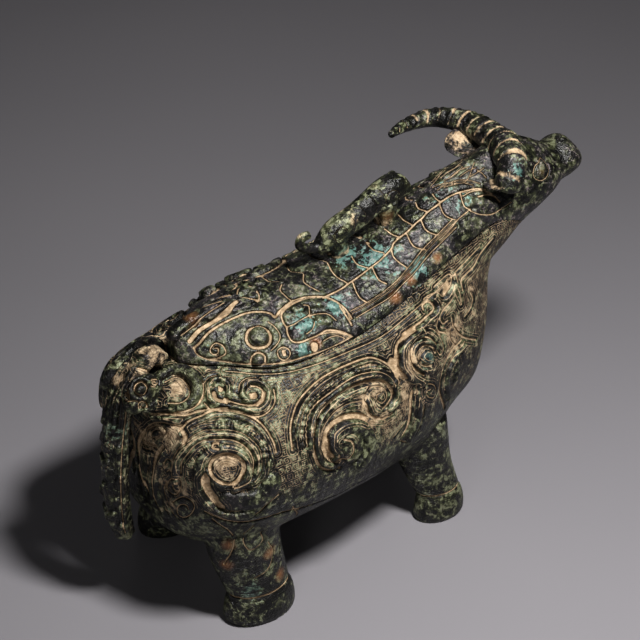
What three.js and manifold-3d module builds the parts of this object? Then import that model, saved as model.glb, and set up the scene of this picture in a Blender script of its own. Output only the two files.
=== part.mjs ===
// A lidded ritual bronze in the shape of an ox, in millimetres, with +Z up and the ox facing +X.
// The vessel is the body and legs. The lid is the back, neck and head, with a small tiger as its knob.
import * as THREE from 'three';
import { mergeVertices } from 'three/addons/utils/BufferGeometryUtils.js';
import Module from 'manifold-3d';

const wasm = await Module();
wasm.setup();

// Body sizes
const RUMP_X = -83;
const RUMP_MID_Z = 63;
const HIP_X = -50;
const HIP_TOP_Z = 96.5;
const HIP_HALF_WIDTH = 41;
const BELLY_Z = 24;
const SHOULDER_X = 0;
const SHOULDER_TOP_Z = 106;
const SHOULDER_HALF_WIDTH = 36;
const CHEST_X = 50.5;
const CHEST_Z = 51;
const CHEST_HALF_WIDTH = 18;
const BODY_SQUARENESS = 2.15;
const SHOULDER_ROUNDNESS = 1.95;

// Neck and head sizes
const NECK_HALF_WIDTH = 14;
const NECK_SEAM_RISE = 16;
const POLL_X = 65;
const POLL_Z = 130.5;
const THROAT_X = 75.5;
const THROAT_Z = 100.3;
const MUZZLE_X = 98;
const MUZZLE_Z = 115.7;
const MUZZLE_HALF_HEIGHT = 6.9;
const MUZZLE_HALF_WIDTH = 8.7;
const NECK_CUT_X = 66;

// Lid sizes
const SEAM_Z = 93;
const LID_REAR_X = -67.5;
const LID_RIDGE_Z = 106;
const LID_HALF_WIDTH = 25.5;
const LID_ROUNDNESS = 1.6;

// Wall, lip and clearances
const WALL = 2.6;
const SEAT_GAP = 0.3;
const CAVITY_END_X = 57;
const LIP_DROP = 4.5;
const LIP_THICKNESS = 1.8;
const LIP_CLEARANCE = 0.4;
const LIP_REAR_X = -50;
const LIP_FRONT_X = -14;

// Legs
const HOOF_HEIGHT = 9;
const REAR_FOOT_X = HIP_X - 4;
const REAR_FOOT_Y = HIP_HALF_WIDTH - 13;
const REAR_FOOT_HALF_LENGTH = 13;
const REAR_FOOT_HALF_WIDTH = 8.5;
const REAR_THIGH_X = HIP_X - 9;
const REAR_THIGH_Y = HIP_HALF_WIDTH - 16;
const REAR_THIGH_HALF_LENGTH = 14;
const REAR_THIGH_HALF_WIDTH = 11;
const FRONT_FOOT_X = SHOULDER_X + 27.2;
const FRONT_FOOT_Y = SHOULDER_HALF_WIDTH - 15;
const FRONT_FOOT_HALF_LENGTH = 9.4;
const FRONT_FOOT_HALF_WIDTH = 6.5;
const FRONT_THIGH_X = SHOULDER_X + 20;
const FRONT_THIGH_Y = SHOULDER_HALF_WIDTH - 19;
const FRONT_THIGH_HALF_LENGTH = 11;
const FRONT_THIGH_HALF_WIDTH = 9;
const ANKLE_SHARE = 0.88;

// Tail, masks, horns, ears and knob
const TAIL_HALF_WIDTH = 5.2;
const TAIL_HALF_THICKNESS = 4.2;
const TAIL_TIP_Z = 30;
const TAIL_STANDOFF = 12.5;
const TAIL_ROOT_GAP = 2;
const MASK_HALF_LENGTH = 7.6;
const MASK_HALF_WIDTH = 3.4;
const MASK_HALF_HEIGHT = 6.8;
const MASK_X = RUMP_X + 0.6;
const MASK_Y = TAIL_HALF_WIDTH + 0.5;
const MASK_Z = SEAM_Z - 4;
const MASK_HORN_RADIUS = 2.3;
const HORN_ROOT_RADIUS = 5.4;
const HORN_TIP_RADIUS = 1.1;
const HORN_SPAN = 27.5;
const HORN_SWEEP = 32;
const RIGHT_HORN_SHARE = 0.34;
const RIGHT_SETBACK = 4;
const EAR_LENGTH = 14.5;
const EAR_HALF_WIDTH = 5.4;
const EAR_HALF_THICKNESS = 1.4;
const TIGER_REAR_X = -11;
const TIGER_Y = 1.5;
const TIGER_LENGTH = 37;
const TIGER_HEIGHT = 16.2;
const TIGER_HALF_WIDTH = 4.7;

// How finely the forms are divided
const RING_POINTS = 32;
const RING_COUNT = 30;
const LIMB_SIDES = 14;

const lerp = THREE.MathUtils.lerp;
const clamp = THREE.MathUtils.clamp;

// Cutting shapes reach this far past the ox
const BEYOND = 40;

// The parting line: level round the back, up along the neck and down to the throat
const SEAM_POINTS = [
  [RUMP_X - BEYOND, SEAM_Z], [RUMP_X, SEAM_Z], [HIP_X + 20, SEAM_Z], [SHOULDER_X - 12, SEAM_Z + 0.5],
  [SHOULDER_X + 6.5, SEAM_Z + NECK_SEAM_RISE * 0.3], [SHOULDER_X + 20, SEAM_Z + NECK_SEAM_RISE * 0.51],
  [POLL_X - 25, SEAM_Z + NECK_SEAM_RISE * 0.86], [POLL_X - 13, SEAM_Z + NECK_SEAM_RISE],
  [POLL_X - 3, SEAM_Z + NECK_SEAM_RISE * 0.8], [THROAT_X - 2, THROAT_Z - 1.3],
  [THROAT_X + 8, THROAT_Z - 4.8], [MUZZLE_X + BEYOND, THROAT_Z - 4.8],
];
const SEAM = new THREE.SplineCurve(SEAM_POINTS.map(([x, z]) => new THREE.Vector2(x, z)));
const SEAM_STEPS = 80;

function seamZ(x) {
  const line = SEAM.getPoints(SEAM_STEPS);
  const after = line.findIndex((point) => point.x >= x);
  const [a, b] = [line[after - 1], line[after]];
  return lerp(a.y, b.y, (x - a.x) / (b.x - a.x));
}

// Each row is one cross-section: the top and bottom points on the middle plane (x, z), the half
// width, and where the widest place lies between them, from 0 at the top to 1 at the bottom.
const HEAD_ROWS = [
  [POLL_X, POLL_Z, THROAT_X - 13.5, THROAT_Z - 9, NECK_HALF_WIDTH - 0.5, 0.5],
  [POLL_X + 6, POLL_Z - 0.5, THROAT_X - 7, THROAT_Z - 3.5, NECK_HALF_WIDTH - 1, 0.5],
  [POLL_X + 12, POLL_Z - 3.2, THROAT_X, THROAT_Z + 0.5, NECK_HALF_WIDTH - 1.7, 0.5],
  [POLL_X + 18, POLL_Z - 6.8, THROAT_X + 6.5, THROAT_Z + 4, MUZZLE_HALF_WIDTH + 2, 0.5],
  [MUZZLE_X - 11, MUZZLE_Z + MUZZLE_HALF_HEIGHT - 0.4, MUZZLE_X - 11, MUZZLE_Z - MUZZLE_HALF_HEIGHT - 1,
    MUZZLE_HALF_WIDTH + 0.3, 0.5],
  [MUZZLE_X - 6, MUZZLE_Z + MUZZLE_HALF_HEIGHT + 1, MUZZLE_X - 6, MUZZLE_Z - MUZZLE_HALF_HEIGHT,
    MUZZLE_HALF_WIDTH, 0.5],
  [MUZZLE_X - 2.2, MUZZLE_Z + MUZZLE_HALF_HEIGHT - 2, MUZZLE_X - 2.2, MUZZLE_Z - MUZZLE_HALF_HEIGHT + 2,
    MUZZLE_HALF_WIDTH - 1.3, 0.5],
  [MUZZLE_X, MUZZLE_Z + 2.3, MUZZLE_X, MUZZLE_Z - 2.3, MUZZLE_HALF_WIDTH - 4.2, 0.5],
];

const VESSEL_ROWS = [
  [RUMP_X, RUMP_MID_Z + 11, RUMP_X, RUMP_MID_Z - 11, 10, 0.5],
  [RUMP_X + 1.5, HIP_TOP_Z - 12.5, RUMP_X + 1.5, BELLY_Z + 14, HIP_HALF_WIDTH - 19, 0.5],
  [RUMP_X + 5, HIP_TOP_Z - 7, RUMP_X + 6.5, BELLY_Z + 6.5, HIP_HALF_WIDTH - 10, 0.51],
  [RUMP_X + 13, HIP_TOP_Z - 4, RUMP_X + 15, BELLY_Z + 2, HIP_HALF_WIDTH - 3.5, 0.52],
  [HIP_X - 10, HIP_TOP_Z - 2.9, HIP_X - 8, BELLY_Z, HIP_HALF_WIDTH - 0.5, 0.53],
  [HIP_X, HIP_TOP_Z, HIP_X, BELLY_Z, HIP_HALF_WIDTH, 0.53],
  [HIP_X + 10, HIP_TOP_Z + 2.8, HIP_X + 10, BELLY_Z, HIP_HALF_WIDTH, 0.53],
  [HIP_X + 22, HIP_TOP_Z + 4.5, HIP_X + 22, BELLY_Z, HIP_HALF_WIDTH - 1, 0.53],
  [SHOULDER_X - 10, SHOULDER_TOP_Z - 3.5, SHOULDER_X - 10, BELLY_Z, SHOULDER_HALF_WIDTH + 2, 0.53],
  [SHOULDER_X, SHOULDER_TOP_Z, SHOULDER_X + 1, BELLY_Z, SHOULDER_HALF_WIDTH, 0.53],
  [SHOULDER_X + 10, SHOULDER_TOP_Z + 4, SHOULDER_X + 15, BELLY_Z, SHOULDER_HALF_WIDTH - 3, 0.53],
  [SHOULDER_X + 20, SHOULDER_TOP_Z + 8, CHEST_X - 27, BELLY_Z + 2, CHEST_HALF_WIDTH + 11, 0.54],
  [SHOULDER_X + 28, SHOULDER_TOP_Z + 11.5, CHEST_X - 15, CHEST_Z - 18.5, CHEST_HALF_WIDTH + 7, 0.55],
  [SHOULDER_X + 36, SHOULDER_TOP_Z + 14.5, CHEST_X - 4, CHEST_Z - 11, CHEST_HALF_WIDTH + 3.5, 0.56],
  [POLL_X - 21, POLL_Z - 7, CHEST_X - 0.5, CHEST_Z, CHEST_HALF_WIDTH, 0.56],
  [POLL_X - 13, POLL_Z - 4, CHEST_X - 1.5, CHEST_Z + 15, NECK_HALF_WIDTH + 1.3, 0.54],
  [POLL_X - 6, POLL_Z - 1.5, CHEST_X - 0.3, CHEST_Z + 29, NECK_HALF_WIDTH, 0.52],
  ...HEAD_ROWS,
];

// The lid's sections are widest at the parting line
function lidRow(x, rise, halfWidth) {
  const widestZ = seamZ(x);
  return [x, widestZ + rise, x, widestZ - rise, halfWidth, 0.5];
}

const RIDGE_RISE = LID_RIDGE_Z - SEAM_Z;
const LID_ROWS = [
  lidRow(LID_REAR_X, RIDGE_RISE - 6, 2.5),
  lidRow(LID_REAR_X + 1, RIDGE_RISE - 3.6, 4.6),
  lidRow(LID_REAR_X + 5, RIDGE_RISE - 1.8, 8.3),
  lidRow(LID_REAR_X + 10.5, RIDGE_RISE - 0.9, LID_HALF_WIDTH - 13),
  lidRow(HIP_X - 2, RIDGE_RISE - 0.5, LID_HALF_WIDTH - 8.6),
  lidRow(HIP_X + 3, RIDGE_RISE - 0.2, LID_HALF_WIDTH - 4.6),
  lidRow(HIP_X + 8, RIDGE_RISE, LID_HALF_WIDTH - 2),
  lidRow(HIP_X + 15, RIDGE_RISE + 0.2, LID_HALF_WIDTH - 0.3),
  lidRow(HIP_X + 24, RIDGE_RISE + 0.5, LID_HALF_WIDTH),
  lidRow(SHOULDER_X - 12, RIDGE_RISE + 0.7, LID_HALF_WIDTH - 0.8),
  lidRow(SHOULDER_X + 2, RIDGE_RISE - 0.4, LID_HALF_WIDTH - 1.8),
  lidRow(SHOULDER_X + 12, RIDGE_RISE + 0.2, LID_HALF_WIDTH - 3.6),
  lidRow(SHOULDER_X + 22, RIDGE_RISE + 1.4, LID_HALF_WIDTH - 5.6),
  lidRow(SHOULDER_X + 32, RIDGE_RISE + 2.9, LID_HALF_WIDTH - 7.6),
  lidRow(POLL_X - 23, RIDGE_RISE + 3.7, NECK_HALF_WIDTH + 2.2),
  lidRow(POLL_X - 13, RIDGE_RISE + 5, NECK_HALF_WIDTH + 0.6),
  [POLL_X - 6, POLL_Z - 1.5, CHEST_X + 2, CHEST_Z + 35, NECK_HALF_WIDTH, 0.5],
  ...HEAD_ROWS,
];

// A form is a smooth run of sections, found by its place along the rows
function smoothRows(rows, upperSquareness) {
  const curve = new THREE.CubicInterpolant(
    rows.map((row, i) => i), rows.flat(), rows[0].length, new Float64Array(rows[0].length));
  const last = rows.length - 1;
  const at = (place) => Array.from(curve.evaluate(clamp(place, 0, last)));
  const placeOfTop = (x) => {
    let [low, high] = [0, last];
    for (let i = 0; i < 40; i += 1) {
      const middle = (low + high) / 2;
      if (at(middle)[0] < x) low = middle;
      else high = middle;
    }
    return low;
  };
  return { last, at, placeOfTop, upperSquareness, rearX: rows[0][0], frontX: rows[last][0] };
}

const VESSEL_FORM = smoothRows(VESSEL_ROWS, SHOULDER_ROUNDNESS);
const LID_FORM = smoothRows(LID_ROWS, LID_ROUNDNESS);

function ridgeZ(x) {
  return LID_FORM.at(LID_FORM.placeOfTop(x))[1];
}

function softPower(value, squareness) {
  return Math.sign(value) * Math.abs(value) ** (2 / squareness);
}

// One closed ring of points round a section, drawn in by inset and moved along X by shift
function sectionRing(row, upperSquareness, inset, shift) {
  const [topX, topZ, bottomX, bottomZ, halfWidth, widest] = row;
  const top = new THREE.Vector3(topX + shift, 0, topZ);
  const down = new THREE.Vector3(bottomX - topX, 0, bottomZ - topZ);
  const length = down.length();
  down.normalize();
  const centre = top.clone().addScaledVector(down, length * widest);
  const upper = length * widest - inset;
  const lower = length * (1 - widest) - inset;
  const points = [];
  for (let i = 0; i < RING_POINTS; i += 1) {
    const angle = (2 * Math.PI * i) / RING_POINTS;
    const squareness = Math.cos(angle) > 0 ? upperSquareness : BODY_SQUARENESS;
    const rise = softPower(Math.cos(angle), squareness);
    const point = centre.clone().addScaledVector(down, rise > 0 ? -upper * rise : -lower * rise);
    point.y = (halfWidth - inset) * softPower(Math.sin(angle), squareness);
    points.push(point);
  }
  return points;
}

// A closed body through rings of equal point count, with a flat fan at each end
function loft(rings) {
  const count = rings[0].length;
  const positions = rings.flat().flatMap((point) => point.toArray());
  const index = [];
  for (let r = 0; r + 1 < rings.length; r += 1) {
    for (let i = 0; i < count; i += 1) {
      const a = r * count + i;
      const b = r * count + ((i + 1) % count);
      index.push(a, a + count, b, b, a + count, b + count);
    }
  }
  for (const [ring, first] of [[rings[0], true], [rings[rings.length - 1], false]]) {
    const centre = new THREE.Vector3();
    ring.forEach((point) => centre.add(point));
    positions.push(...centre.divideScalar(count).toArray());
    const hub = positions.length / 3 - 1;
    const start = first ? 0 : (rings.length - 1) * count;
    for (let i = 0; i < count; i += 1) {
      const a = start + i;
      const b = start + ((i + 1) % count);
      if (first) index.push(hub, a, b);
      else index.push(hub, b, a);
    }
  }
  const geometry = new THREE.BufferGeometry();
  geometry.setAttribute('position', new THREE.Float32BufferAttribute(positions, 3));
  geometry.setIndex(index);
  return geometry;
}

// Manifold solids for joining and cutting, turned outwards whichever way the faces were wound
function solid(geometry) {
  const bare = geometry.clone();
  bare.deleteAttribute('normal');
  bare.deleteAttribute('uv');
  const merged = mergeVertices(bare, 1e-4);
  const vertProperties = new Float32Array(merged.attributes.position.array);
  const triVerts = new Uint32Array(merged.index.array);
  const made = new wasm.Manifold(new wasm.Mesh({ numProp: 3, vertProperties, triVerts }));
  if (made.volume() > 0) return made;
  for (let i = 0; i < triVerts.length; i += 3) {
    [triVerts[i + 1], triVerts[i + 2]] = [triVerts[i + 2], triVerts[i + 1]];
  }
  return new wasm.Manifold(new wasm.Mesh({ numProp: 3, vertProperties, triVerts }));
}

function geometryOf(body) {
  const { numProp, vertProperties, triVerts } = body.getMesh();
  const positions = [];
  for (let i = 0; i < vertProperties.length; i += numProp) {
    positions.push(vertProperties[i], vertProperties[i + 1], vertProperties[i + 2]);
  }
  const geometry = new THREE.BufferGeometry();
  geometry.setAttribute('position', new THREE.Float32BufferAttribute(positions, 3));
  geometry.setIndex(Array.from(triVerts));
  geometry.computeVertexNormals();
  return geometry;
}

// The solid through a form's sections, drawn in by inset (or out, where inset is negative)
function formSolid(form, inset, endX = form.frontX) {
  const lastPlace = form.placeOfTop(endX);
  const middle = (form.rearX + form.frontX) / 2;
  const reach = (form.frontX - form.rearX) / 2;
  const rings = [];
  for (let i = 0; i <= RING_COUNT; i += 1) {
    const row = form.at((lastPlace * i) / RING_COUNT);
    const shift = (inset * (middle - row[0])) / reach;
    rings.push(sectionRing(row, form.upperSquareness, inset, shift));
  }
  return solid(loft(rings));
}

// A slab with this outline in the X-Z plane, reaching across the whole width
function acrossSlab(outline) {
  const halfReach = HIP_HALF_WIDTH * 2;
  const geometry = new THREE.ExtrudeGeometry(new THREE.Shape(outline), {
    depth: 2 * halfReach, bevelEnabled: false });
  geometry.rotateX(Math.PI / 2);
  geometry.translate(0, halfReach, 0);
  return solid(geometry);
}

const SKY_Z = POLL_Z + BEYOND;

function aboveSeam(lift) {
  const line = SEAM.getPoints(SEAM_STEPS).map((point) => new THREE.Vector2(point.x, point.y + lift));
  const first = line[0];
  const last = line[line.length - 1];
  return acrossSlab([...line, new THREE.Vector2(last.x, SKY_Z), new THREE.Vector2(first.x, SKY_Z)]);
}

function inFrontOf(x) {
  const far = MUZZLE_X + BEYOND;
  const corners = [[x, -BEYOND], [far, -BEYOND], [far, SKY_Z], [x, SKY_Z]];
  return acrossSlab(corners.map((corner) => new THREE.Vector2(...corner)));
}

// A tapering limb along a smooth curve. Each stop is [point, half size across, half size up].
function limb(stops, up, sides = LIMB_SIDES, stepsPerStop = 3) {
  const curve = new THREE.CatmullRomCurve3(stops.map(([point]) => point));
  const sizes = new THREE.CubicInterpolant(
    stops.map((stop, i) => i), stops.flatMap(([, across, tall]) => [across, tall]), 2, new Float64Array(2));
  const steps = (stops.length - 1) * stepsPerStop;
  const rings = [];
  for (let s = 0; s <= steps; s += 1) {
    const share = s / steps;
    const centre = curve.getPoint(share);
    const tangent = curve.getTangent(share);
    const across = new THREE.Vector3().crossVectors(tangent, up).normalize();
    const tall = new THREE.Vector3().crossVectors(across, tangent);
    const [halfAcross, halfTall] = sizes.evaluate(share * (stops.length - 1));
    const ring = [];
    for (let i = 0; i < sides; i += 1) {
      const angle = (2 * Math.PI * i) / sides;
      ring.push(centre.clone()
        .addScaledVector(across, halfAcross * Math.cos(angle))
        .addScaledVector(tall, halfTall * Math.sin(angle)));
    }
    rings.push(ring);
  }
  return solid(loft(rings));
}

const point = (x, y, z) => new THREE.Vector3(x, y, z);
const X_AXIS = point(1, 0, 0);
const Y_AXIS = point(0, 1, 0);
const Z_AXIS = point(0, 0, 1);

function ball(centre, half, widthSegments = 14, heightSegments = 10) {
  const geometry = new THREE.SphereGeometry(1, widthSegments, heightSegments);
  geometry.scale(half.x, half.y, half.z);
  geometry.translate(centre.x, centre.y, centre.z);
  return solid(geometry);
}

const vesselWithGap = formSolid(VESSEL_FORM, -SEAT_GAP);
const lidWithGap = formSolid(LID_FORM, -SEAT_GAP);
const lidSpace = aboveSeam(SEAT_GAP);

function vesselShell() {
  return formSolid(VESSEL_FORM, 0).subtract(aboveSeam(0)).subtract(formSolid(VESSEL_FORM, WALL, CAVITY_END_X));
}

function lidShell() {
  return formSolid(LID_FORM, 0).intersect(lidSpace).subtract(inFrontOf(NECK_CUT_X - SEAT_GAP))
    .subtract(formSolid(LID_FORM, WALL, CAVITY_END_X));
}

function oxHead() {
  return formSolid(LID_FORM, 0).intersect(lidSpace).intersect(inFrontOf(NECK_CUT_X));
}

// Half width of a form's hollow at height z, on the section whose top lies at x
function hollowHalfWidth(form, x, z) {
  const [, topZ, , bottomZ, halfWidth, widest] = form.at(form.placeOfTop(x));
  const centreZ = lerp(topZ, bottomZ, widest);
  const rise = Math.max(0, (z - centreZ) / (topZ - centreZ - WALL));
  if (rise >= 1) return 0;
  const power = form.upperSquareness;
  return (halfWidth - WALL) * (1 - rise ** power) ** (1 / power);
}

// Straight ledge hanging under the lid just inside the mouth, across the back and along both sides
function locatingLip() {
  const stations = 10;
  const edge = (drawIn) => {
    const side = [];
    for (let i = 0; i <= stations; i += 1) {
      const x = lerp(LIP_REAR_X + (drawIn - LIP_CLEARANCE), LIP_FRONT_X, i / stations);
      const halves = [VESSEL_FORM, LID_FORM].map((form) => hollowHalfWidth(form, x, SEAM_Z));
      side.push(new THREE.Vector2(x, Math.min(...halves) - drawIn));
    }
    return side;
  };
  const outer = edge(LIP_CLEARANCE);
  const inner = edge(LIP_CLEARANCE + LIP_THICKNESS);
  const mirrored = (side) => side.map((p) => new THREE.Vector2(p.x, -p.y));
  const outline = [
    ...[...outer].reverse(), ...mirrored(outer), ...[...mirrored(inner)].reverse(), ...inner];
  const geometry = new THREE.ExtrudeGeometry(new THREE.Shape(outline), {
    depth: 2 * LIP_DROP, bevelEnabled: false });
  geometry.translate(0, 0, SEAM_Z - LIP_DROP);
  const levels = (low, high) => acrossSlab(
    [[RUMP_X, low], [CHEST_X, low], [CHEST_X, high], [RUMP_X, high]].map((p) => new THREE.Vector2(...p)));
  const roomInLid = formSolid(LID_FORM, WALL + SEAT_GAP, CAVITY_END_X).add(levels(0, SEAM_Z));
  const roomInVessel = formSolid(VESSEL_FORM, WALL + LIP_CLEARANCE, CAVITY_END_X).add(levels(SEAM_Z, SKY_Z));
  return solid(geometry).intersect(roomInLid).intersect(roomInVessel);
}

const REAR_FOOT = {
  x: REAR_FOOT_X, y: REAR_FOOT_Y, halfLength: REAR_FOOT_HALF_LENGTH, halfWidth: REAR_FOOT_HALF_WIDTH };
const REAR_THIGH = {
  x: REAR_THIGH_X, y: REAR_THIGH_Y, halfLength: REAR_THIGH_HALF_LENGTH, halfWidth: REAR_THIGH_HALF_WIDTH };
const FRONT_FOOT = {
  x: FRONT_FOOT_X, y: FRONT_FOOT_Y, halfLength: FRONT_FOOT_HALF_LENGTH, halfWidth: FRONT_FOOT_HALF_WIDTH };
const FRONT_THIGH = {
  x: FRONT_THIGH_X, y: FRONT_THIGH_Y, halfLength: FRONT_THIGH_HALF_LENGTH, halfWidth: FRONT_THIGH_HALF_WIDTH };

function leg(foot, thigh, side) {
  const at = (share) => [lerp(foot.x, thigh.x, share), side * lerp(foot.y, thigh.y, share)];
  const thighZ = BELLY_Z + 16;
  const stop = (z, share, halfLength, halfWidth) => {
    const [x, y] = at(share);
    return [point(x, y, z), halfWidth, halfLength];
  };
  const ankleLength = foot.halfLength * ANKLE_SHARE;
  const ankleWidth = foot.halfWidth * ANKLE_SHARE;
  return limb([
    stop(0, 0, foot.halfLength, foot.halfWidth),
    stop(HOOF_HEIGHT * 0.6, 0, foot.halfLength * 0.98, foot.halfWidth * 0.98),
    stop(HOOF_HEIGHT * 1.3, 0.1, ankleLength, ankleWidth),
    stop(BELLY_Z - 3, 0.5, lerp(ankleLength, thigh.halfLength, 0.3), lerp(ankleWidth, thigh.halfWidth, 0.3)),
    stop(BELLY_Z + 6, 0.8, lerp(ankleLength, thigh.halfLength, 0.7), lerp(ankleWidth, thigh.halfWidth, 0.7)),
    stop(thighZ, 1, thigh.halfLength, thigh.halfWidth),
  ], X_AXIS, 20).subtract(vesselWithGap);
}

// The tail springs from the vessel's rim behind the lid, arches over the rump and hangs free
function tailForm(grow) {
  const thick = TAIL_HALF_THICKNESS + grow;
  const wide = TAIL_HALF_WIDTH + grow;
  const back = RUMP_X - TAIL_STANDOFF + TAIL_HALF_THICKNESS;
  const rootX = LID_REAR_X - TAIL_ROOT_GAP - SEAT_GAP;
  return limb([
    [point(rootX - 2, 0, SEAM_Z + 2.5), thick * 0.75, wide * 0.65],
    [point(rootX - 5.5, 0, SEAM_Z + 4.6), thick * 0.75, wide * 0.7],
    [point(back + 11, 0, SEAM_Z + 1.8), thick * 0.85, wide * 0.85],
    [point(back + 6, 0, SEAM_Z - 5.5), thick, wide],
    [point(back + 2.8, 0, RUMP_MID_Z + 15), thick, wide],
    [point(back + 0.8, 0, RUMP_MID_Z + 3), thick, wide],
    [point(back, 0, RUMP_MID_Z - 12), thick, wide],
    [point(back + 0.8, 0, TAIL_TIP_Z + 8), thick * 0.95, wide * 0.95],
    [point(back + 2.6, 0, TAIL_TIP_Z), thick * 0.8, wide * 0.75],
  ], Y_AXIS);
}

// A small beast head against the tail's root, with a C-shaped horn lying behind it on the rump
function rumpMask(side) {
  const head = ball(point(MASK_X, side * MASK_Y, MASK_Z),
    point(MASK_HALF_LENGTH, MASK_HALF_WIDTH, MASK_HALF_HEIGHT));
  const radius = MASK_HORN_RADIUS;
  const hornStop = (dx, dy, dz, share) => [
    point(MASK_X + dx, side * (MASK_Y + dy), MASK_Z + dz), radius * share, radius * share];
  const beastHorn = limb([
    hornStop(5, -0.5, 3.5, 1), hornStop(10.5, 1.5, 4, 1), hornStop(15.5, 5, 3.4, 1),
    hornStop(14.5, 9.3, 0.8, 1), hornStop(8.5, 9.3, -1.6, 0.9), hornStop(4.5, 5, -2.2, 0.7),
  ], Z_AXIS, 10, 3);
  return head.add(beastHorn).subtract(vesselWithGap).subtract(tailForm(SEAT_GAP)).subtract(lidWithGap);
}

// Horns grow out sideways, then turn back. The right one is worn short and sits a little further
// back, as does its ear, both as in the photograph.
function hornForm(side, grow) {
  const share = side < 0 ? RIGHT_HORN_SHARE : 1;
  const back = side < 0 ? RIGHT_SETBACK : 0;
  const rootX = POLL_X + 0.3;
  const rootZ = POLL_Z - 1.5;
  const path = new THREE.CatmullRomCurve3([
    point(rootX, side * SEAT_GAP * 2, rootZ),
    point(rootX - back * 0.5, side * HORN_SPAN * 0.5, rootZ),
    point(rootX - 3.3 - back, side * HORN_SPAN * 0.82, rootZ),
    point(rootX - 10.3 - back, side * HORN_SPAN, rootZ + 0.3),
    point(rootX - 21.3 - back, side * HORN_SPAN * 0.97, rootZ + 1),
    point(rootX - HORN_SWEEP + 0.7 - back, side * HORN_SPAN * 0.78, rootZ + 3),
  ]);
  const count = 7;
  const stops = [];
  for (let i = 0; i < count; i += 1) {
    const along = (share * i) / (count - 1);
    const radius = lerp(HORN_ROOT_RADIUS, HORN_TIP_RADIUS, along ** 1.6) + grow;
    stops.push([path.getPoint(along), radius, radius]);
  }
  return limb(stops, Z_AXIS, 12, 3);
}

function ear(side) {
  const out = point(-0.55, side * 0.8, 0.2).normalize();
  const back = side < 0 ? RIGHT_SETBACK : 0;
  const root = point(POLL_X - 1 - back, side * NECK_HALF_WIDTH * 0.5, POLL_Z - 8);
  const along = (share) => root.clone().addScaledVector(out, EAR_LENGTH * share);
  return limb([
    [along(0), EAR_HALF_WIDTH * 0.5, EAR_HALF_THICKNESS],
    [along(0.4), EAR_HALF_WIDTH * 0.75, EAR_HALF_THICKNESS],
    [along(0.75), EAR_HALF_WIDTH, EAR_HALF_THICKNESS],
    [along(1), EAR_HALF_WIDTH * 0.6, EAR_HALF_THICKNESS * 0.6],
  ], point(-0.5, 0, 0.8), 12, 3).subtract(lidWithGap).subtract(hornForm(side, SEAT_GAP));
}

function tigerKnob() {
  const at = (share) => TIGER_REAR_X + TIGER_LENGTH * share;
  const backZ = (share) => ridgeZ(at(share)) + TIGER_HEIGHT;
  const wide = TIGER_HALF_WIDTH;
  const spine = limb([
    [point(at(0.03), TIGER_Y, backZ(0.03) - 10.5), wide * 0.55, 2.8],
    [point(at(0.12), TIGER_Y, backZ(0.12) - 8.6), wide * 0.9, 4.8],
    [point(at(0.24), TIGER_Y, backZ(0.24) - 6.3), wide, 5.6],
    [point(at(0.42), TIGER_Y, backZ(0.42) - 6.1), wide * 0.92, 5.6],
    [point(at(0.6), TIGER_Y, backZ(0.6) - 5.9), wide * 0.95, 5.6],
    [point(at(0.75), TIGER_Y, backZ(0.75) - 4.9), wide, 5.2],
    [point(at(0.88), TIGER_Y, backZ(0.88) - 6), wide * 0.95, 4.8],
    [point(at(1), TIGER_Y, backZ(1) - 10.5), wide * 0.6, 2.8],
  ], Z_AXIS);
  const legs = [[0.22, 1], [0.22, -1], [0.76, 1], [0.76, -1]].map(([share, side]) => limb([
    [point(at(share), TIGER_Y + side * wide * 0.48, backZ(share) - 8), 2.3, 4.4],
    [point(at(share) + 0.5, TIGER_Y + side * wide * 0.42, backZ(share) - 12), 2, 3.4],
    [point(at(share) + 2, TIGER_Y + side * wide * 0.3, ridgeZ(at(share)) - 2), 1.7, 3.2],
  ], X_AXIS, 10, 3));
  const curl = limb([
    [point(at(0.08), TIGER_Y, backZ(0.08) - 10.5), 1.8, 1.8],
    [point(at(-0.06), TIGER_Y, backZ(0) - 9.2), 1.7, 1.7],
    [point(at(-0.15), TIGER_Y, backZ(0) - 7), 1.6, 1.6],
    [point(at(-0.13), TIGER_Y, backZ(0) - 4.3), 1.6, 1.6],
    [point(at(-0.05), TIGER_Y, backZ(0) - 4), 1.4, 1.4],
  ], Y_AXIS, 10);
  return legs.reduce((body, next) => body.add(next), spine).add(curl).subtract(lidWithGap);
}

const group = new THREE.Group();
const vessel = new THREE.Group();
const lid = new THREE.Group();
group.add(vessel, lid);

const bronze = (color, roughness) => new THREE.MeshStandardMaterial({ color, roughness, metalness: 0.75 });
const darkBronze = bronze(0x2f362e, 0.55);
const greenBronze = bronze(0x46523f, 0.6);
const hornBronze = bronze(0x39413a, 0.5);

function addPiece(parent, name, body, material) {
  const mesh = new THREE.Mesh(geometryOf(body), material);
  mesh.name = name;
  parent.add(mesh);
}

addPiece(vessel, 'vessel_shell', vesselShell(), darkBronze);
addPiece(vessel, 'tail', tailForm(0).subtract(vesselWithGap), darkBronze);
addPiece(lid, 'lid_shell', lidShell(), greenBronze);
addPiece(lid, 'lid_locating_lip', locatingLip(), darkBronze);
addPiece(lid, 'ox_head', oxHead(), greenBronze);
addPiece(lid, 'tiger_knob', tigerKnob(), darkBronze);
for (const [side, name] of [[-1, 'right'], [1, 'left']]) {
  addPiece(vessel, `leg_rear_${name}`, leg(REAR_FOOT, REAR_THIGH, side), darkBronze);
  addPiece(vessel, `leg_front_${name}`, leg(FRONT_FOOT, FRONT_THIGH, side), darkBronze);
  addPiece(vessel, `rump_mask_${name}`, rumpMask(side), darkBronze);
  addPiece(lid, `horn_${name}`, hornForm(side, 0).subtract(lidWithGap), hornBronze);
  addPiece(lid, `ear_${name}`, ear(side), greenBronze);
}

// The origin is under the middle of the whole object
const bounds = new THREE.Box3().setFromObject(group);
group.position.x = -(bounds.min.x + bounds.max.x) / 2;
group.updateMatrixWorld(true);

export default group;
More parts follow.
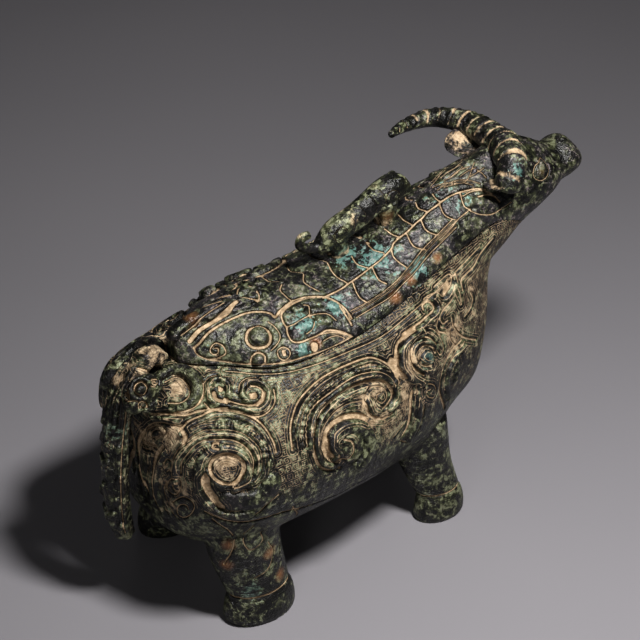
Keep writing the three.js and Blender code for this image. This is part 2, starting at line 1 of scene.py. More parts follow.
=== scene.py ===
import math

import bmesh
import bpy
import numpy as np
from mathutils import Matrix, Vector
from mathutils.bvhtree import BVHTree
from mathutils.kdtree import KDTree


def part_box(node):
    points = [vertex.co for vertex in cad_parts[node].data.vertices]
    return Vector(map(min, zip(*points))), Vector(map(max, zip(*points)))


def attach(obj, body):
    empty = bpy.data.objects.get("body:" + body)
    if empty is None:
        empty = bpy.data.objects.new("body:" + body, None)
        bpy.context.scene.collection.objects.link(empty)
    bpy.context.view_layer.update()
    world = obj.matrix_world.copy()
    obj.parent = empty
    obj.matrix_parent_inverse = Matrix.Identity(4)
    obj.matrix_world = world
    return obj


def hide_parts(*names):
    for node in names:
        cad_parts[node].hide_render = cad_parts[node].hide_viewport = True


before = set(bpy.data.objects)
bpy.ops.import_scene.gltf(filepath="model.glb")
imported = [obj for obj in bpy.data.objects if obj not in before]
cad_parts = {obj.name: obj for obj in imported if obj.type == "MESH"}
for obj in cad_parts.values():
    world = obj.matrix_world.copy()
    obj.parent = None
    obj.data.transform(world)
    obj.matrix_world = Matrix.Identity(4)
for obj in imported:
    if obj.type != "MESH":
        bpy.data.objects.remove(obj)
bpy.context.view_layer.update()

MM = 0.001

# Body sizes, in millimetres
RUMP_X = -83
RUMP_MID_Z = 63
HIP_X = -50
HIP_TOP_Z = 96.5
HIP_HALF_WIDTH = 41
BELLY_Z = 24
SHOULDER_X = 0
SHOULDER_TOP_Z = 106
SHOULDER_HALF_WIDTH = 36
CHEST_X = 50.5
CHEST_Z = 51
CHEST_HALF_WIDTH = 18
BODY_SQUARENESS = 2.15
SHOULDER_ROUNDNESS = 1.95

# Neck, head and lid sizes
NECK_HALF_WIDTH = 14
NECK_SEAM_RISE = 16
POLL_X = 65
POLL_Z = 130.5
THROAT_X = 75.5
THROAT_Z = 100.3
MUZZLE_X = 98
MUZZLE_Z = 115.7
MUZZLE_HALF_HEIGHT = 6.9
MUZZLE_HALF_WIDTH = 8.7
SEAM_Z = 93
LID_REAR_X = -67.5
LID_RIDGE_Z = 106
LID_HALF_WIDTH = 25.5
LID_ROUNDNESS = 1.6
WALL = 2.6
SEAT_GAP = 0.3
CAVITY_END_X = 57
HOOF_HEIGHT = 9
BEYOND = 40
SKY_Z = POLL_Z + BEYOND
UNDER_Z = -20

# Tail, mask, horn, ear and tiger sizes
TAIL_HALF_WIDTH = 5.2
TAIL_HALF_THICKNESS = 4.2
TAIL_TIP_Z = 30
TAIL_STANDOFF = 12.5
MASK_X = RUMP_X + 0.6
MASK_Y = TAIL_HALF_WIDTH + 0.5
MASK_Z = SEAM_Z - 4
HORN_ROOT_RADIUS = 5.3
HORN_TIP_RADIUS = 1.1
HORN_SPAN = 27.5
RIGHT_HORN_SHARE = 0.34
RIGHT_SETBACK = 4
EAR_LENGTH = 14.5
EAR_HALF_WIDTH = 5.4
EAR_HALF_THICKNESS = 1.3
TIGER_REAR_X = -11
TIGER_Y = 1.5
TIGER_LENGTH = 37
TIGER_HEIGHT = 16.2
TIGER_HALF_WIDTH = 4.7

# How finely the skins are divided, in millimetres
VESSEL_VOXEL = 0.52
LID_VOXEL = 0.42
SMALL_VOXEL = 0.3

# Sizes along X are counted as on the drawing; the frame's origin lies under the middle of the box
SHIFT_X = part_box("vessel_shell")[0].x / MM - RUMP_X

# The camera of the photograph: angles in degrees, distance in metres, lens in picture widths
CAMERA_AZIMUTH = -34.7
CAMERA_ELEVATION = 34.5
CAMERA_DISTANCE = 0.8
CAMERA_TARGET = (-2, 11, 76)
SENSOR_WIDTH = 36
LENS_SHARE = 2333 / 640


# Camera, floor and light
def aim(obj, target):
    """Turns a camera or a lamp to look at a point."""
    direction = Vector(target) - obj.location
    obj.rotation_euler = direction.to_track_quat("-Z", "Y").to_euler()


def make_camera():
    azimuth, elevation = math.radians(CAMERA_AZIMUTH), math.radians(CAMERA_ELEVATION)
    x, y, z = CAMERA_TARGET
    target = Vector(((SHIFT_X + x) * MM, y * MM, z * MM))
    level = math.cos(elevation)
    back = Vector((math.sin(azimuth) * level, -math.cos(azimuth) * level, math.sin(elevation)))
    data = bpy.data.cameras.new("camera")
    data.sensor_width = SENSOR_WIDTH
    data.lens = SENSOR_WIDTH * LENS_SHARE
    data.clip_start = 0.01
    camera = bpy.data.objects.new("camera", data)
    camera.location = target + back * CAMERA_DISTANCE
    bpy.context.collection.objects.link(camera)
    aim(camera, target)
    bpy.context.scene.camera = camera


def area_light(name, location, target, size, power, color):
    data = bpy.data.lights.new(name, "AREA")
    data.shape = "DISK"
    data.size = size
    data.energy = power
    data.color = color
    light = bpy.data.objects.new(name, data)
    light.location = location
    bpy.context.collection.objects.link(light)
    aim(light, target)


def make_studio():
    """A small warm key from above, a weak fill from the left, a faint rim; metres and watts."""
    area_light("key", (0, -0.22, 0.46), (0, -0.06, 0.05), size=0.08, power=2.4,
               color=(1, 0.985, 0.96))
    area_light("fill", (-0.6, -0.5, 0.3), (0, 0, 0.06), size=0.3, power=0.62,
               color=(1, 0.99, 0.97))
    area_light("rim", (0.2, 0.4, 0.3), (0, 0, 0.11), size=0.2, power=0.05,
               color=(1, 0.98, 0.95))
    view = bpy.context.scene.view_settings
    view.view_transform = "Standard"
    view.look = "Medium High Contrast"
    world = bpy.data.worlds.new("studio")
    world.use_nodes = True
    sky = world.node_tree.nodes["Background"].inputs
    sky["Color"].default_value = (0.8, 0.8, 0.84, 1)
    sky["Strength"].default_value = 0.022
    bpy.context.scene.world = world


# Shader words
class Wire:
    """A socket that can be added, multiplied and so on, each time through a Math node."""

    def __init__(self, paint, socket):
        self.paint = paint
        self.socket = socket

    def maths(self, operation, *values):
        return self.paint.node("ShaderNodeMath", {"operation": operation}, dict(enumerate(values)))

    def __add__(self, other):
        return self.maths("ADD", self, other)

    def __radd__(self, other):
        return self.maths("ADD", other, self)

    def __sub__(self, other):
        return self.maths("SUBTRACT", self, other)

    def __rsub__(self, other):
        return self.maths("SUBTRACT", other, self)

    def __mul__(self, other):
        return self.maths("MULTIPLY", self, other)

    def __rmul__(self, other):
        return self.maths("MULTIPLY", other, self)

    def __abs__(self):
        return self.maths("ABSOLUTE", self)

    def fraction(self):
        return self.maths("FRACT", self)

    def smaller(self, other):
        return self.maths("MINIMUM", self, other)

    def larger(self, other):
        return self.maths("MAXIMUM", self, other)

    def turn(self, other):
        """The angle of the point (other, self), from -1/2 to 1/2 of a full turn."""
        return self.maths("ARCTAN2", self, other) * (0.5 / math.pi)

    def clamped(self):
        return self.larger(0.0).smaller(1.0)

    def between(self, low, high):
        """0 below low, 1 above high, smooth between."""
        return self.paint.node("ShaderNodeMapRange", {"interpolation_type": "SMOOTHSTEP"},
                               {"Value": self, "From Min": low, "From Max": high})


class Paint:
    """One material and its nodes."""

    def __init__(self, name):
        self.material = bpy.data.materials.new(name)
        self.material.use_nodes = True
        self.tree = self.material.node_tree
        self.tree.nodes.clear()

    def node(self, kind, settings=None, values=None, output=0):
        made = self.tree.nodes.new(kind)
        for name, value in (settings or {}).items():
            setattr(made, name, value)
        for name, value in (values or {}).items():
            self.feed(made.inputs[name], value)
        outputs = [s for s in made.outputs if s.enabled]
        found = made.outputs[output] if isinstance(output, str) else outputs[output]
        return Wire(self, found)

    def feed(self, socket, value):
        if isinstance(value, Wire):
            self.tree.links.new(value.socket, socket)
        else:
            socket.default_value = value

    def attribute(self, name, output="Fac"):
        return self.node("ShaderNodeAttribute", {"attribute_name": name}, output=output)

    def length(self, vector):
        return self.node("ShaderNodeVectorMath", {"operation": "LENGTH"}, {0: vector},
                         output="Value")

    def place(self):
        return self.node("ShaderNodeTexCoord", output="Object")

    def parts(self, vector):
        split = self.node("ShaderNodeSeparateXYZ", {}, {"Vector": vector}).socket.node
        return [Wire(self, split.outputs[axis]) for axis in "XYZ"]

    def noise(self, where, scale, detail, roughness, distortion=0.0):
        return self.node("ShaderNodeTexNoise", {}, {
            "Vector": where, "Scale": scale, "Detail": detail, "Roughness": roughness,
            "Distortion": distortion}, output="Fac")

    def cells(self, where, scale):
        return self.node("ShaderNodeTexVoronoi", {}, {"Vector": where, "Scale": scale},
                         output="Distance")

    def blend(self, share, first, second):
        made = self.tree.nodes.new("ShaderNodeMix")
        made.data_type = "RGBA"
        self.feed(made.inputs["Factor"], share)
        for label, value in (("A", first), ("B", second)):
            socket = [s for s in made.inputs if s.name == label and s.type == "RGBA"][0]
            self.feed(socket, opaque(value))
        return Wire(self, [s for s in made.outputs if s.type == "RGBA"][0])

    def bump(self, height, strength, distance):
        return self.node("ShaderNodeBump", {}, {
            "Height": height, "Strength": strength, "Distance": distance}, output="Normal")

    def finish(self, **inputs):
        shader = self.tree.nodes.new("ShaderNodeBsdfPrincipled")
        for name, value in inputs.items():
            label = name.replace("_", " ").title().replace("Ior", "IOR")
            self.feed(shader.inputs[label], opaque(value))
        output = self.tree.nodes.new("ShaderNodeOutputMaterial")
        self.tree.links.new(shader.outputs["BSDF"], output.inputs["Surface"])
        return self.material


def opaque(value):
    """A colour with full alpha; anything else as it is."""
    return (*value, 1) if isinstance(value, tuple) else value


# Patina colours
EARTH = (0.34, 0.24, 0.14)
PALE_EARTH = (0.72, 0.55, 0.37)
RUST = (0.20, 0.085, 0.035)
ORANGE = (0.42, 0.19, 0.075)
SOOT = (0.006, 0.006, 0.0055)
OLIVE = (0.031, 0.034, 0.020)
MOSS = (0.090, 0.098, 0.048)
SAGE = (0.29, 0.31, 0.19)
TEAL = (0.13, 0.26, 0.235)
PLUM = (0.050, 0.046, 0.052)
ASH = (0.44, 0.36, 0.36)

# Side of one square of the spiral ground, the turns in it, and the pitch of the fine lines (mm)
GROUND_CELL = 2.9
GROUND_TURNS = 2.0
FINE_PITCH = 0.85
BUMP_DEPTH = 0.0009


def spiral_ground(across, up):
    """Small square spirals in rows: 1 in their lines."""
    u = (across * (1 / GROUND_CELL)).fraction() - 0.5
    v = (up * (1 / GROUND_CELL)).fraction() - 0.5
    square = abs(u).larger(abs(v)) * (2 * GROUND_TURNS)
    return 1 - abs((square + v.turn(u)).fraction() - 0.5).between(0.05, 0.2)


def aged_bronze(name, plum, green, teal, ground=0.0, low=0.0, fine=0.0):
    """Old bronze: dark metal, clouds of green, earth in grooves and at the foot of every band, and
    a thin line of painted shadow right against each band.

    plum, green and teal say how much of each bloom there is, ground how clear the spiral ground is,
    fine how clear the thin lines beside each groove are, and low how black the underside is.
    """
    paint = Paint(name)
    where = paint.place()
    east, _, high = paint.parts(where)

    # Where the cast lines are, from what the skin holds at each point
    gap = paint.attribute("cut_gap")
    reach = paint.length(paint.attribute("cut", "Vector"))
    far = gap.between(0.5, 0.75)
    from_line = reach * (1 - far) + gap * far - paint.attribute("cut_half")
    here = paint.attribute("cut_here")
    line = (1 - from_line.between(-0.26, 0.02)) * here
    echo = abs((from_line * (1 / FINE_PITCH) + 0.5).fraction() - 0.5)
    echo = (1 - echo.between(0.04, 0.2)) * here * from_line.between(0.3, 0.5)
    band = paint.attribute("band")
    bare = 1 - band.between(1.85, 2.15)
    foot = band.between(1.1, 1.9) * bare
    # A thin line of painted shadow right against each band: earth is kept off it so the dark metal
    # shows there
    painted_band_shadow = band.between(1.62, 1.9) * bare

    # Metal and its blooms, from large to small
    clouds = paint.noise(where, scale=30.0, detail=4.0, roughness=0.6)
    blots = paint.noise(where, scale=105.0, detail=4.0, roughness=0.62, distortion=0.4)
    flecks = paint.noise(where, scale=240.0, detail=4.0, roughness=0.7, distortion=0.6)
    specks = paint.noise(where, scale=520.0, detail=3.0, roughness=0.65)
    grains = paint.noise(where, scale=1400.0, detail=2.0, roughness=0.6)
    pits = paint.cells(where, scale=800.0)
    metal = paint.blend(flecks.between(0.45, 0.62), SOOT, OLIVE)
    metal = paint.blend(blots.between(0.46, 0.66) * plum, metal, PLUM)
    mossy = (clouds * 0.35 + flecks * 0.5 + specks * 0.35).between(0.585, 0.66)
    metal = paint.blend(mossy * green, metal, MOSS)
    scabs = (specks * 0.6 + flecks * 0.45 + clouds * 0.2).between(0.665, 0.71)
    metal = paint.blend(scabs * green, metal, SAGE)
    crust = (flecks * 0.6 + specks * 0.8 + paint.attribute("teal") * 0.3).between(0.87, 0.93)
    metal = paint.blend(crust * teal, metal, TEAL)
    frost = (specks * 0.5 + grains * 0.6).between(0.585, 0.65) * blots.between(0.42, 0.56)
    metal = paint.blend(frost * 0.52 * plum, metal, ASH)
    if low:
        metal = paint.blend(high.between(0.07, 0.046) * (1 - mossy * 0.7) * low, metal, SOOT)
    stain = (paint.attribute("rust") * 0.8 + flecks * 0.6 - 0.45).clamped()
    metal = paint.blend(stain, metal, ORANGE)

    # Earth: in the grooves, at the bands' feet, thinly over the ground, and in its own patches;
    # right against each band it is taken away for a thin line of painted shadow
    drift = (blots * 0.6 + flecks * 0.4).between(0.44, 0.6)
    flat = bare * (0.04 + 0.24 * drift)
    marks = echo * (0.5 + 0.42 * drift) * fine
    if ground:
        spirals = spiral_ground(east * (1 / MM) + (blots - 0.5) * 1.8,
                                high * (1 / MM) + (clouds - 0.5) * 4)
        marks = marks + spirals * bare * from_line.between(1.5, 1.9) * (ground + 0.4 * drift)
    dirt_and_shadow = line * (0.7 + 0.5 * blots) + foot * (0.1 + 0.3 * drift)
    dirt_and_shadow = dirt_and_shadow + (flat + marks) * paint.attribute("field") - painted_band_shadow * 0.5
    earth_and_shadow = dirt_and_shadow + paint.attribute("earth") * (0.4 + 0.9 * drift)
    earth_and_shadow = (earth_and_shadow + (specks - 0.5) * 0.7 + (grains - 0.5) * 0.3).clamped()
    clay = paint.blend((flecks * 0.5 + specks * 0.5).between(0.38, 0.62), EARTH, PALE_EARTH)
    clay = paint.blend(grains.between(0.56, 0.72) * 0.5, clay, RUST)

    colour = paint.blend(earth_and_shadow.between(0.25, 0.75) * 0.92, metal, clay)
    rough = 0.24 + 0.3 * blots + earth_and_shadow * 0.4 + (0.5 - grains) * 0.2
    height = flecks * 0.5 + specks * 0.5 + grains * 0.2 + pits * 0.15
    height = height - line * 1.2 - marks * bare * 0.5
    relief = paint.bump(height, strength=1.0, distance=BUMP_DEPTH)
    return paint.finish(base_color=colour, roughness=rough.clamped(), metallic=0.15,
                        specular_ior_level=0.6, normal=relief)


def plain_bronze(name):
    """The hidden lip under the lid: dark metal with green bloom."""
    paint = Paint(name)
    where = paint.place()
    clouds = paint.noise(where, scale=60.0, detail=4.0, roughness=0.6)
    specks = paint.noise(where, scale=500.0, detail=3.0, roughness=0.6)
    metal = paint.blend(clouds.between(0.4, 0.6), SOOT, OLIVE)
    metal = paint.blend((clouds * 0.5 + specks * 0.5).between(0.52, 0.66), metal, SAGE)
    return paint.finish(base_color=metal, roughness=0.5 + specks * 0.3, metallic=0.2,
                        normal=paint.bump(specks, strength=0.5, distance=0.0004))


def studio_floor():
    """A plain pale floor with a little grain."""
    paint = Paint("pale_floor")
    where = paint.place()
    cloud = paint.noise(where, scale=3.0, detail=2.0, roughness=0.5)
    grain = paint.noise(where, scale=900.0, detail=2.0, roughness=0.5)
    grey = paint.blend(cloud.between(0.3, 0.7), (0.295, 0.286, 0.31), (0.318, 0.307, 0.332))
    return paint.finish(base_color=grey, roughness=0.7 + grain * 0.1,
                        normal=paint.bump(grain, strength=0.05, distance=0.0003))


# Shapes
def smooth_rows(rows):
    """A smooth curve through rows of numbers, level at its ends; gives a row at any place."""
    rows = np.array(rows, float)
    slopes = np.zeros_like(rows)
    slopes[1:-1] = (rows[2:] - rows[:-2]) / 2
    return hermite(rows, slopes)


def smooth_open(rows):
    """Like smooth_rows, but it runs straight on at its two ends."""
    rows = np.array(rows, float)
    padded = np.concatenate([[2 * rows[0] - rows[1]], rows, [2 * rows[-1] - rows[-2]]])
    return hermite(rows, (padded[2:] - padded[:-2]) / 2)


def hermite(rows, slopes):
    def at(place):
        place = np.clip(np.atleast_1d(np.asarray(place, float)), 0, len(rows) - 1)
        i = np.minimum(place.astype(int), len(rows) - 2)
        t = (place - i)[:, None]
        return ((2 * t**3 - 3 * t**2 + 1) * rows[i] + (t**3 - 2 * t**2 + t) * slopes[i]
                + (3 * t**2 - 2 * t**3) * rows[i + 1] + (t**3 - t**2) * slopes[i + 1])
    return at


SEAM_POINTS = np.array([
    (RUMP_X - BEYOND, SEAM_Z), (RUMP_X, SEAM_Z), (HIP_X + 20, SEAM_Z),
    (SHOULDER_X - 12, SEAM_Z + 0.5), (SHOULDER_X + 6.5, SEAM_Z + NECK_SEAM_RISE * 0.3),
    (SHOULDER_X + 20, SEAM_Z + NECK_SEAM_RISE * 0.51),
    (POLL_X - 25, SEAM_Z + NECK_SEAM_RISE * 0.86), (POLL_X - 13, SEAM_Z + NECK_SEAM_RISE),
    (POLL_X - 3, SEAM_Z + NECK_SEAM_RISE * 0.8), (THROAT_X - 2, THROAT_Z - 1.3),
    (THROAT_X + 8, THROAT_Z - 4.8), (MUZZLE_X + BEYOND, THROAT_Z - 4.8)])
SEAM_LINE = smooth_rows(SEAM_POINTS)(np.linspace(0, len(SEAM_POINTS) - 1, 400))


def seam_z(x):
    return np.interp(x, SEAM_LINE[:, 0], SEAM_LINE[:, 1])


# Each row is one cross-section: its top and bottom (x, z), half width, and where it is widest
HEAD_ROWS = [
    (POLL_X, POLL_Z, THROAT_X - 13.5, THROAT_Z - 9, NECK_HALF_WIDTH - 0.5, 0.5),
    (POLL_X + 6, POLL_Z - 0.5, THROAT_X - 7, THROAT_Z - 3.5, NECK_HALF_WIDTH - 1, 0.5),
    (POLL_X + 12, POLL_Z - 3.2, THROAT_X, THROAT_Z + 0.5, NECK_HALF_WIDTH - 1.7, 0.5),
    (POLL_X + 18, POLL_Z - 6.8, THROAT_X + 6.5, THROAT_Z + 4, MUZZLE_HALF_WIDTH + 2, 0.5),
    (MUZZLE_X - 11, MUZZLE_Z + MUZZLE_HALF_HEIGHT - 0.4, MUZZLE_X - 11,
     MUZZLE_Z - MUZZLE_HALF_HEIGHT - 1, MUZZLE_HALF_WIDTH + 0.3, 0.5),
    (MUZZLE_X - 6, MUZZLE_Z + MUZZLE_HALF_HEIGHT + 1, MUZZLE_X - 6, MUZZLE_Z - MUZZLE_HALF_HEIGHT,
     MUZZLE_HALF_WIDTH, 0.5),
    (MUZZLE_X - 2.2, MUZZLE_Z + MUZZLE_HALF_HEIGHT - 2, MUZZLE_X - 2.2,
     MUZZLE_Z - MUZZLE_HALF_HEIGHT + 2, MUZZLE_HALF_WIDTH - 1.3, 0.5),
    (MUZZLE_X, MUZZLE_Z + 2.3, MUZZLE_X, MUZZLE_Z - 2.3, MUZZLE_HALF_WIDTH - 4.2, 0.5),
]

VESSEL_ROWS = [
    (RUMP_X, RUMP_MID_Z + 11, RUMP_X, RUMP_MID_Z - 11, 10, 0.5),
    (RUMP_X + 1.5, HIP_TOP_Z - 12.5, RUMP_X + 1.5, BELLY_Z + 14, HIP_HALF_WIDTH - 19, 0.5),
    (RUMP_X + 5, HIP_TOP_Z - 7, RUMP_X + 6.5, BELLY_Z + 6.5, HIP_HALF_WIDTH - 10, 0.51),
    (RUMP_X + 13, HIP_TOP_Z - 4, RUMP_X + 15, BELLY_Z + 2, HIP_HALF_WIDTH - 3.5, 0.52),
    (HIP_X - 10, HIP_TOP_Z - 2.9, HIP_X - 8, BELLY_Z, HIP_HALF_WIDTH - 0.5, 0.53),
    (HIP_X, HIP_TOP_Z, HIP_X, BELLY_Z, HIP_HALF_WIDTH, 0.53),
    (HIP_X + 10, HIP_TOP_Z + 2.8, HIP_X + 10, BELLY_Z, HIP_HALF_WIDTH, 0.53),
    (HIP_X + 22, HIP_TOP_Z + 4.5, HIP_X + 22, BELLY_Z, HIP_HALF_WIDTH - 1, 0.53),
    (SHOULDER_X - 10, SHOULDER_TOP_Z - 3.5, SHOULDER_X - 10, BELLY_Z, SHOULDER_HALF_WIDTH + 2,
     0.53),
    (SHOULDER_X, SHOULDER_TOP_Z, SHOULDER_X + 1, BELLY_Z, SHOULDER_HALF_WIDTH, 0.53),
    (SHOULDER_X + 10, SHOULDER_TOP_Z + 4, SHOULDER_X + 15, BELLY_Z, SHOULDER_HALF_WIDTH - 3, 0.53),
    (SHOULDER_X + 20, SHOULDER_TOP_Z + 8, CHEST_X - 27, BELLY_Z + 2, CHEST_HALF_WIDTH + 11, 0.54),
    (SHOULDER_X + 28, SHOULDER_TOP_Z + 11.5, CHEST_X - 15, CHEST_Z - 18.5,
     CHEST_HALF_WIDTH + 7, 0.55),
    (SHOULDER_X + 36, SHOULDER_TOP_Z + 14.5, CHEST_X - 4, CHEST_Z - 11,
     CHEST_HALF_WIDTH + 3.5, 0.56),
    (POLL_X - 21, POLL_Z - 7, CHEST_X - 0.5, CHEST_Z, CHEST_HALF_WIDTH, 0.56),
    (POLL_X - 13, POLL_Z - 4, CHEST_X - 1.5, CHEST_Z + 15, NECK_HALF_WIDTH + 1.3, 0.54),
    (POLL_X - 6, POLL_Z - 1.5, CHEST_X - 0.3, CHEST_Z + 29, NECK_HALF_WIDTH, 0.52),
    *HEAD_ROWS,
]


def lid_row(x, rise, half_width):
    widest = float(seam_z(x))
    return (x, widest + rise, x, widest - rise, half_width, 0.5)


RIDGE_RISE = LID_RIDGE_Z - SEAM_Z
LID_ROWS = [
    lid_row(LID_REAR_X, RIDGE_RISE - 6, 2.5),
    lid_row(LID_REAR_X + 1, RIDGE_RISE - 3.6, 4.6),
    lid_row(LID_REAR_X + 5, RIDGE_RISE - 1.8, 8.3),
    lid_row(LID_REAR_X + 10.5, RIDGE_RISE - 0.9, LID_HALF_WIDTH - 13),
    lid_row(HIP_X - 2, RIDGE_RISE - 0.5, LID_HALF_WIDTH - 8.6),
    lid_row(HIP_X + 3, RIDGE_RISE - 0.2, LID_HALF_WIDTH - 4.6),
    lid_row(HIP_X + 8, RIDGE_RISE, LID_HALF_WIDTH - 2),
    lid_row(HIP_X + 15, RIDGE_RISE + 0.2, LID_HALF_WIDTH - 0.3),
    lid_row(HIP_X + 24, RIDGE_RISE + 0.5, LID_HALF_WIDTH),
    lid_row(SHOULDER_X - 12, RIDGE_RISE + 0.7, LID_HALF_WIDTH - 0.8),
    lid_row(SHOULDER_X + 2, RIDGE_RISE - 0.4, LID_HALF_WIDTH - 1.8),
    lid_row(SHOULDER_X + 12, RIDGE_RISE + 0.2, LID_HALF_WIDTH - 3.6),
    lid_row(SHOULDER_X + 22, RIDGE_RISE + 1.4, LID_HALF_WIDTH - 5.6),
    lid_row(SHOULDER_X + 32, RIDGE_RISE + 2.9, LID_HALF_WIDTH - 7.6),
    lid_row(POLL_X - 23, RIDGE_RISE + 3.7, NECK_HALF_WIDTH + 2.2),
    lid_row(POLL_X - 13, RIDGE_RISE + 5, NECK_HALF_WIDTH + 0.6),
    (POLL_X - 6, POLL_Z - 1.5, CHEST_X + 2, CHEST_Z + 35, NECK_HALF_WIDTH, 0.5),
    *HEAD_ROWS,
]


def ridge_z(x):
    rows = smooth_rows(LID_ROWS)(np.linspace(0, len(LID_ROWS) - 1, 2000))
    return float(np.interp(x, rows[:, 0], rows[:, 1]))


def rings_mesh(name, rings):
    """A closed body through rings of points, in millimetres."""
    count, around = rings.shape[:2]
    points = np.concatenate([rings.reshape(-1, 3), rings[:1].mean(1), rings[-1:].mean(1)])
    r, i = np.meshgrid(np.arange(count - 1), np.arange(around), indexing="ij")
    a, b = r * around + i, r * around + (i + 1) % around
    sides = np.stack([a, a + around, b + around, b], -1).reshape(-1, 4).tolist()
    first, last = len(points) - 2, len(points) - 1
    end = (count - 1) * around
    caps = [(first, k, (k + 1) % around) for k in range(around)]
    caps += [(last, end + (k + 1) % around, end + k) for k in range(around)]
    return body_of(name, points, sides + caps)


def body_of(name, points, faces):
    """A mesh object from points in millimetres of the drawing, its faces turned outwards."""
    mesh = bpy.data.meshes.new(name)
    mesh.from_pydata(((np.array(points, float) + (SHIFT_X, 0, 0)) * MM).tolist(), [], faces)
    obj = bpy.data.objects.new(name, mesh)
    bpy.context.collection.objects.link(obj)
    return outwards(obj)


def outwards(obj):
    loose = bmesh.new()
    loose.from_mesh(obj.data)
    bmesh.ops.recalc_face_normals(loose, faces=loose.faces)
    if loose.calc_volume(signed=True) < 0:
        bmesh.ops.reverse_faces(loose, faces=loose.faces)
    loose.to_mesh(obj.data)
    loose.free()
    return obj


def form_mesh(name, rows, roundness, inset=0.0, end_x=None, rings=210, around=120):
    """The body through a form's sections, drawn in by inset."""
    at = smooth_rows(rows)
    last = len(rows) - 1
    places = np.linspace(0, last, 4000)
    tops = at(places)[:, 0]
    end = last if end_x is None else places[np.argmax(tops >= end_x)]
    row = at(np.linspace(0, end, rings))
    middle = (rows[0][0] + rows[-1][0]) / 2
    reach = (rows[-1][0] - rows[0][0]) / 2
    shift = inset * (middle - row[:, 0]) / reach
    down = np.stack([row[:, 2] - row[:, 0], row[:, 3] - row[:, 1]], 1)
    length = np.linalg.norm(down, axis=1)
    down /= length[:, None]
    centre = row[:, 0:2] + down * (length * row[:, 5])[:, None]
    angle = 2 * np.pi * np.arange(around) / around
    squareness = np.where(np.cos(angle) > 0, roundness, BODY_SQUARENESS)
    rise = np.sign(np.cos(angle)) * np.abs(np.cos(angle)) ** (2 / squareness)
    width = np.sign(np.sin(angle)) * np.abs(np.sin(angle)) ** (2 / squareness)
    upper = (length * row[:, 5] - inset)[:, None]
    lower = (length * (1 - row[:, 5]) - inset)[:, None]
    along = np.where(rise > 0, -upper * rise, -lower * rise)
    return rings_mesh(name, np.stack([
        centre[:, 0:1] + down[:, 0:1] * along + shift[:, None],
        (row[:, 4] - inset)[:, None] * width[None],
        centre[:, 1:2] + down[:, 1:2] * along], -1))


def slab(name, line, closing_z):
    """A flat-sided block under or over a line in the X-Z plane, reaching across the ox."""
    outline = np.concatenate([line, [(line[-1][0], closing_z), (line[0][0], closing_z)]])
    count = len(outline)
    reach = 2 * HIP_HALF_WIDTH
    points = [(x, y, z) for y in (-reach, reach) for x, z in outline]
    faces = [list(range(count)), [count + i for i in reversed(range(count))]]
    faces += [[i, (i + 1) % count, count + (i + 1) % count, count + i] for i in range(count)]
    return body_of(name, points, faces)


def settle(obj):
    """Applies the modifiers that are on the object."""
    graph = bpy.context.evaluated_depsgraph_get()
    mesh = bpy.data.meshes.new_from_object(obj.evaluated_get(graph))
    obj.modifiers.clear()
    obj.data = mesh
    return obj


def carve(obj, cutter):
    """Takes the cutter's body away from the object, and the cutter itself out of the scene."""
    cut = obj.modifiers.new("cut", "BOOLEAN")
    cut.operation = "DIFFERENCE"
    cut.object = cutter
    cut.solver = "MANIFOLD"
    settle(obj)
    bpy.data.objects.remove(cutter)
    return obj


def join(parts, name):
    with bpy.context.temp_override(active_object=parts[0], selected_editable_objects=parts):
        bpy.ops.object.join()
    parts[0].name = name
    return parts[0]


def recast(obj, voxel):
    """Melts overlapping bodies into one skin of even, small faces."""
    melt = obj.modifiers.new("melt", "REMESH")
    melt.mode = "VOXEL"
    melt.voxel_size = voxel * MM
    return settle(obj)


def limb(name, stops, up, sides=40, steps=16, shape=None):
    """A tapering limb along a smooth curve. Each stop is (x, y, z, half size across, half size up).
    shape(way, angle) gives the share of the radius at each ring and angle."""
    stops = np.array(stops, float)
    curve = smooth_open(stops)
    places = np.linspace(0, len(stops) - 1, steps * (len(stops) - 1) + 1)
    row = curve(places)
    ahead = np.gradient(row[:, :3], axis=0)
    tangent = ahead / np.linalg.norm(ahead, axis=1, keepdims=True)
    across = np.cross(tangent, np.array(up, float))
    across /= np.linalg.norm(across, axis=1, keepdims=True)
    tall = np.cross(across, tangent)
    angle = 2 * np.pi * np.arange(sides) / sides
    share = np.ones((len(row), sides))
    if shape:
        step = np.linalg.norm(np.diff(row[:, :3], axis=0), axis=1)
        way = np.concatenate([[0], np.cumsum(step)])
        share = share * shape(way[:, None], angle[None])
    return rings_mesh(name, row[:, None, :3]
                      + across[:, None] * (row[:, 3:4] * np.cos(angle) * share)[..., None]
                      + tall[:, None] * (row[:, 4:5] * np.sin(angle) * share)[..., None])


def ball(name, centre, half):
    rings, around = 18, 28
    turn = np.linspace(0.05, np.pi - 0.05, rings)[:, None]
    angle = (2 * np.pi * np.arange(around) / around)[None]
    unit = np.stack([np.cos(turn) + 0 * angle, np.sin(turn) * np.cos(angle),
                     np.sin(turn) * np.sin(angle)], -1)
    return rings_mesh(name, unit * np.array(half, float) + np.array(centre, float))

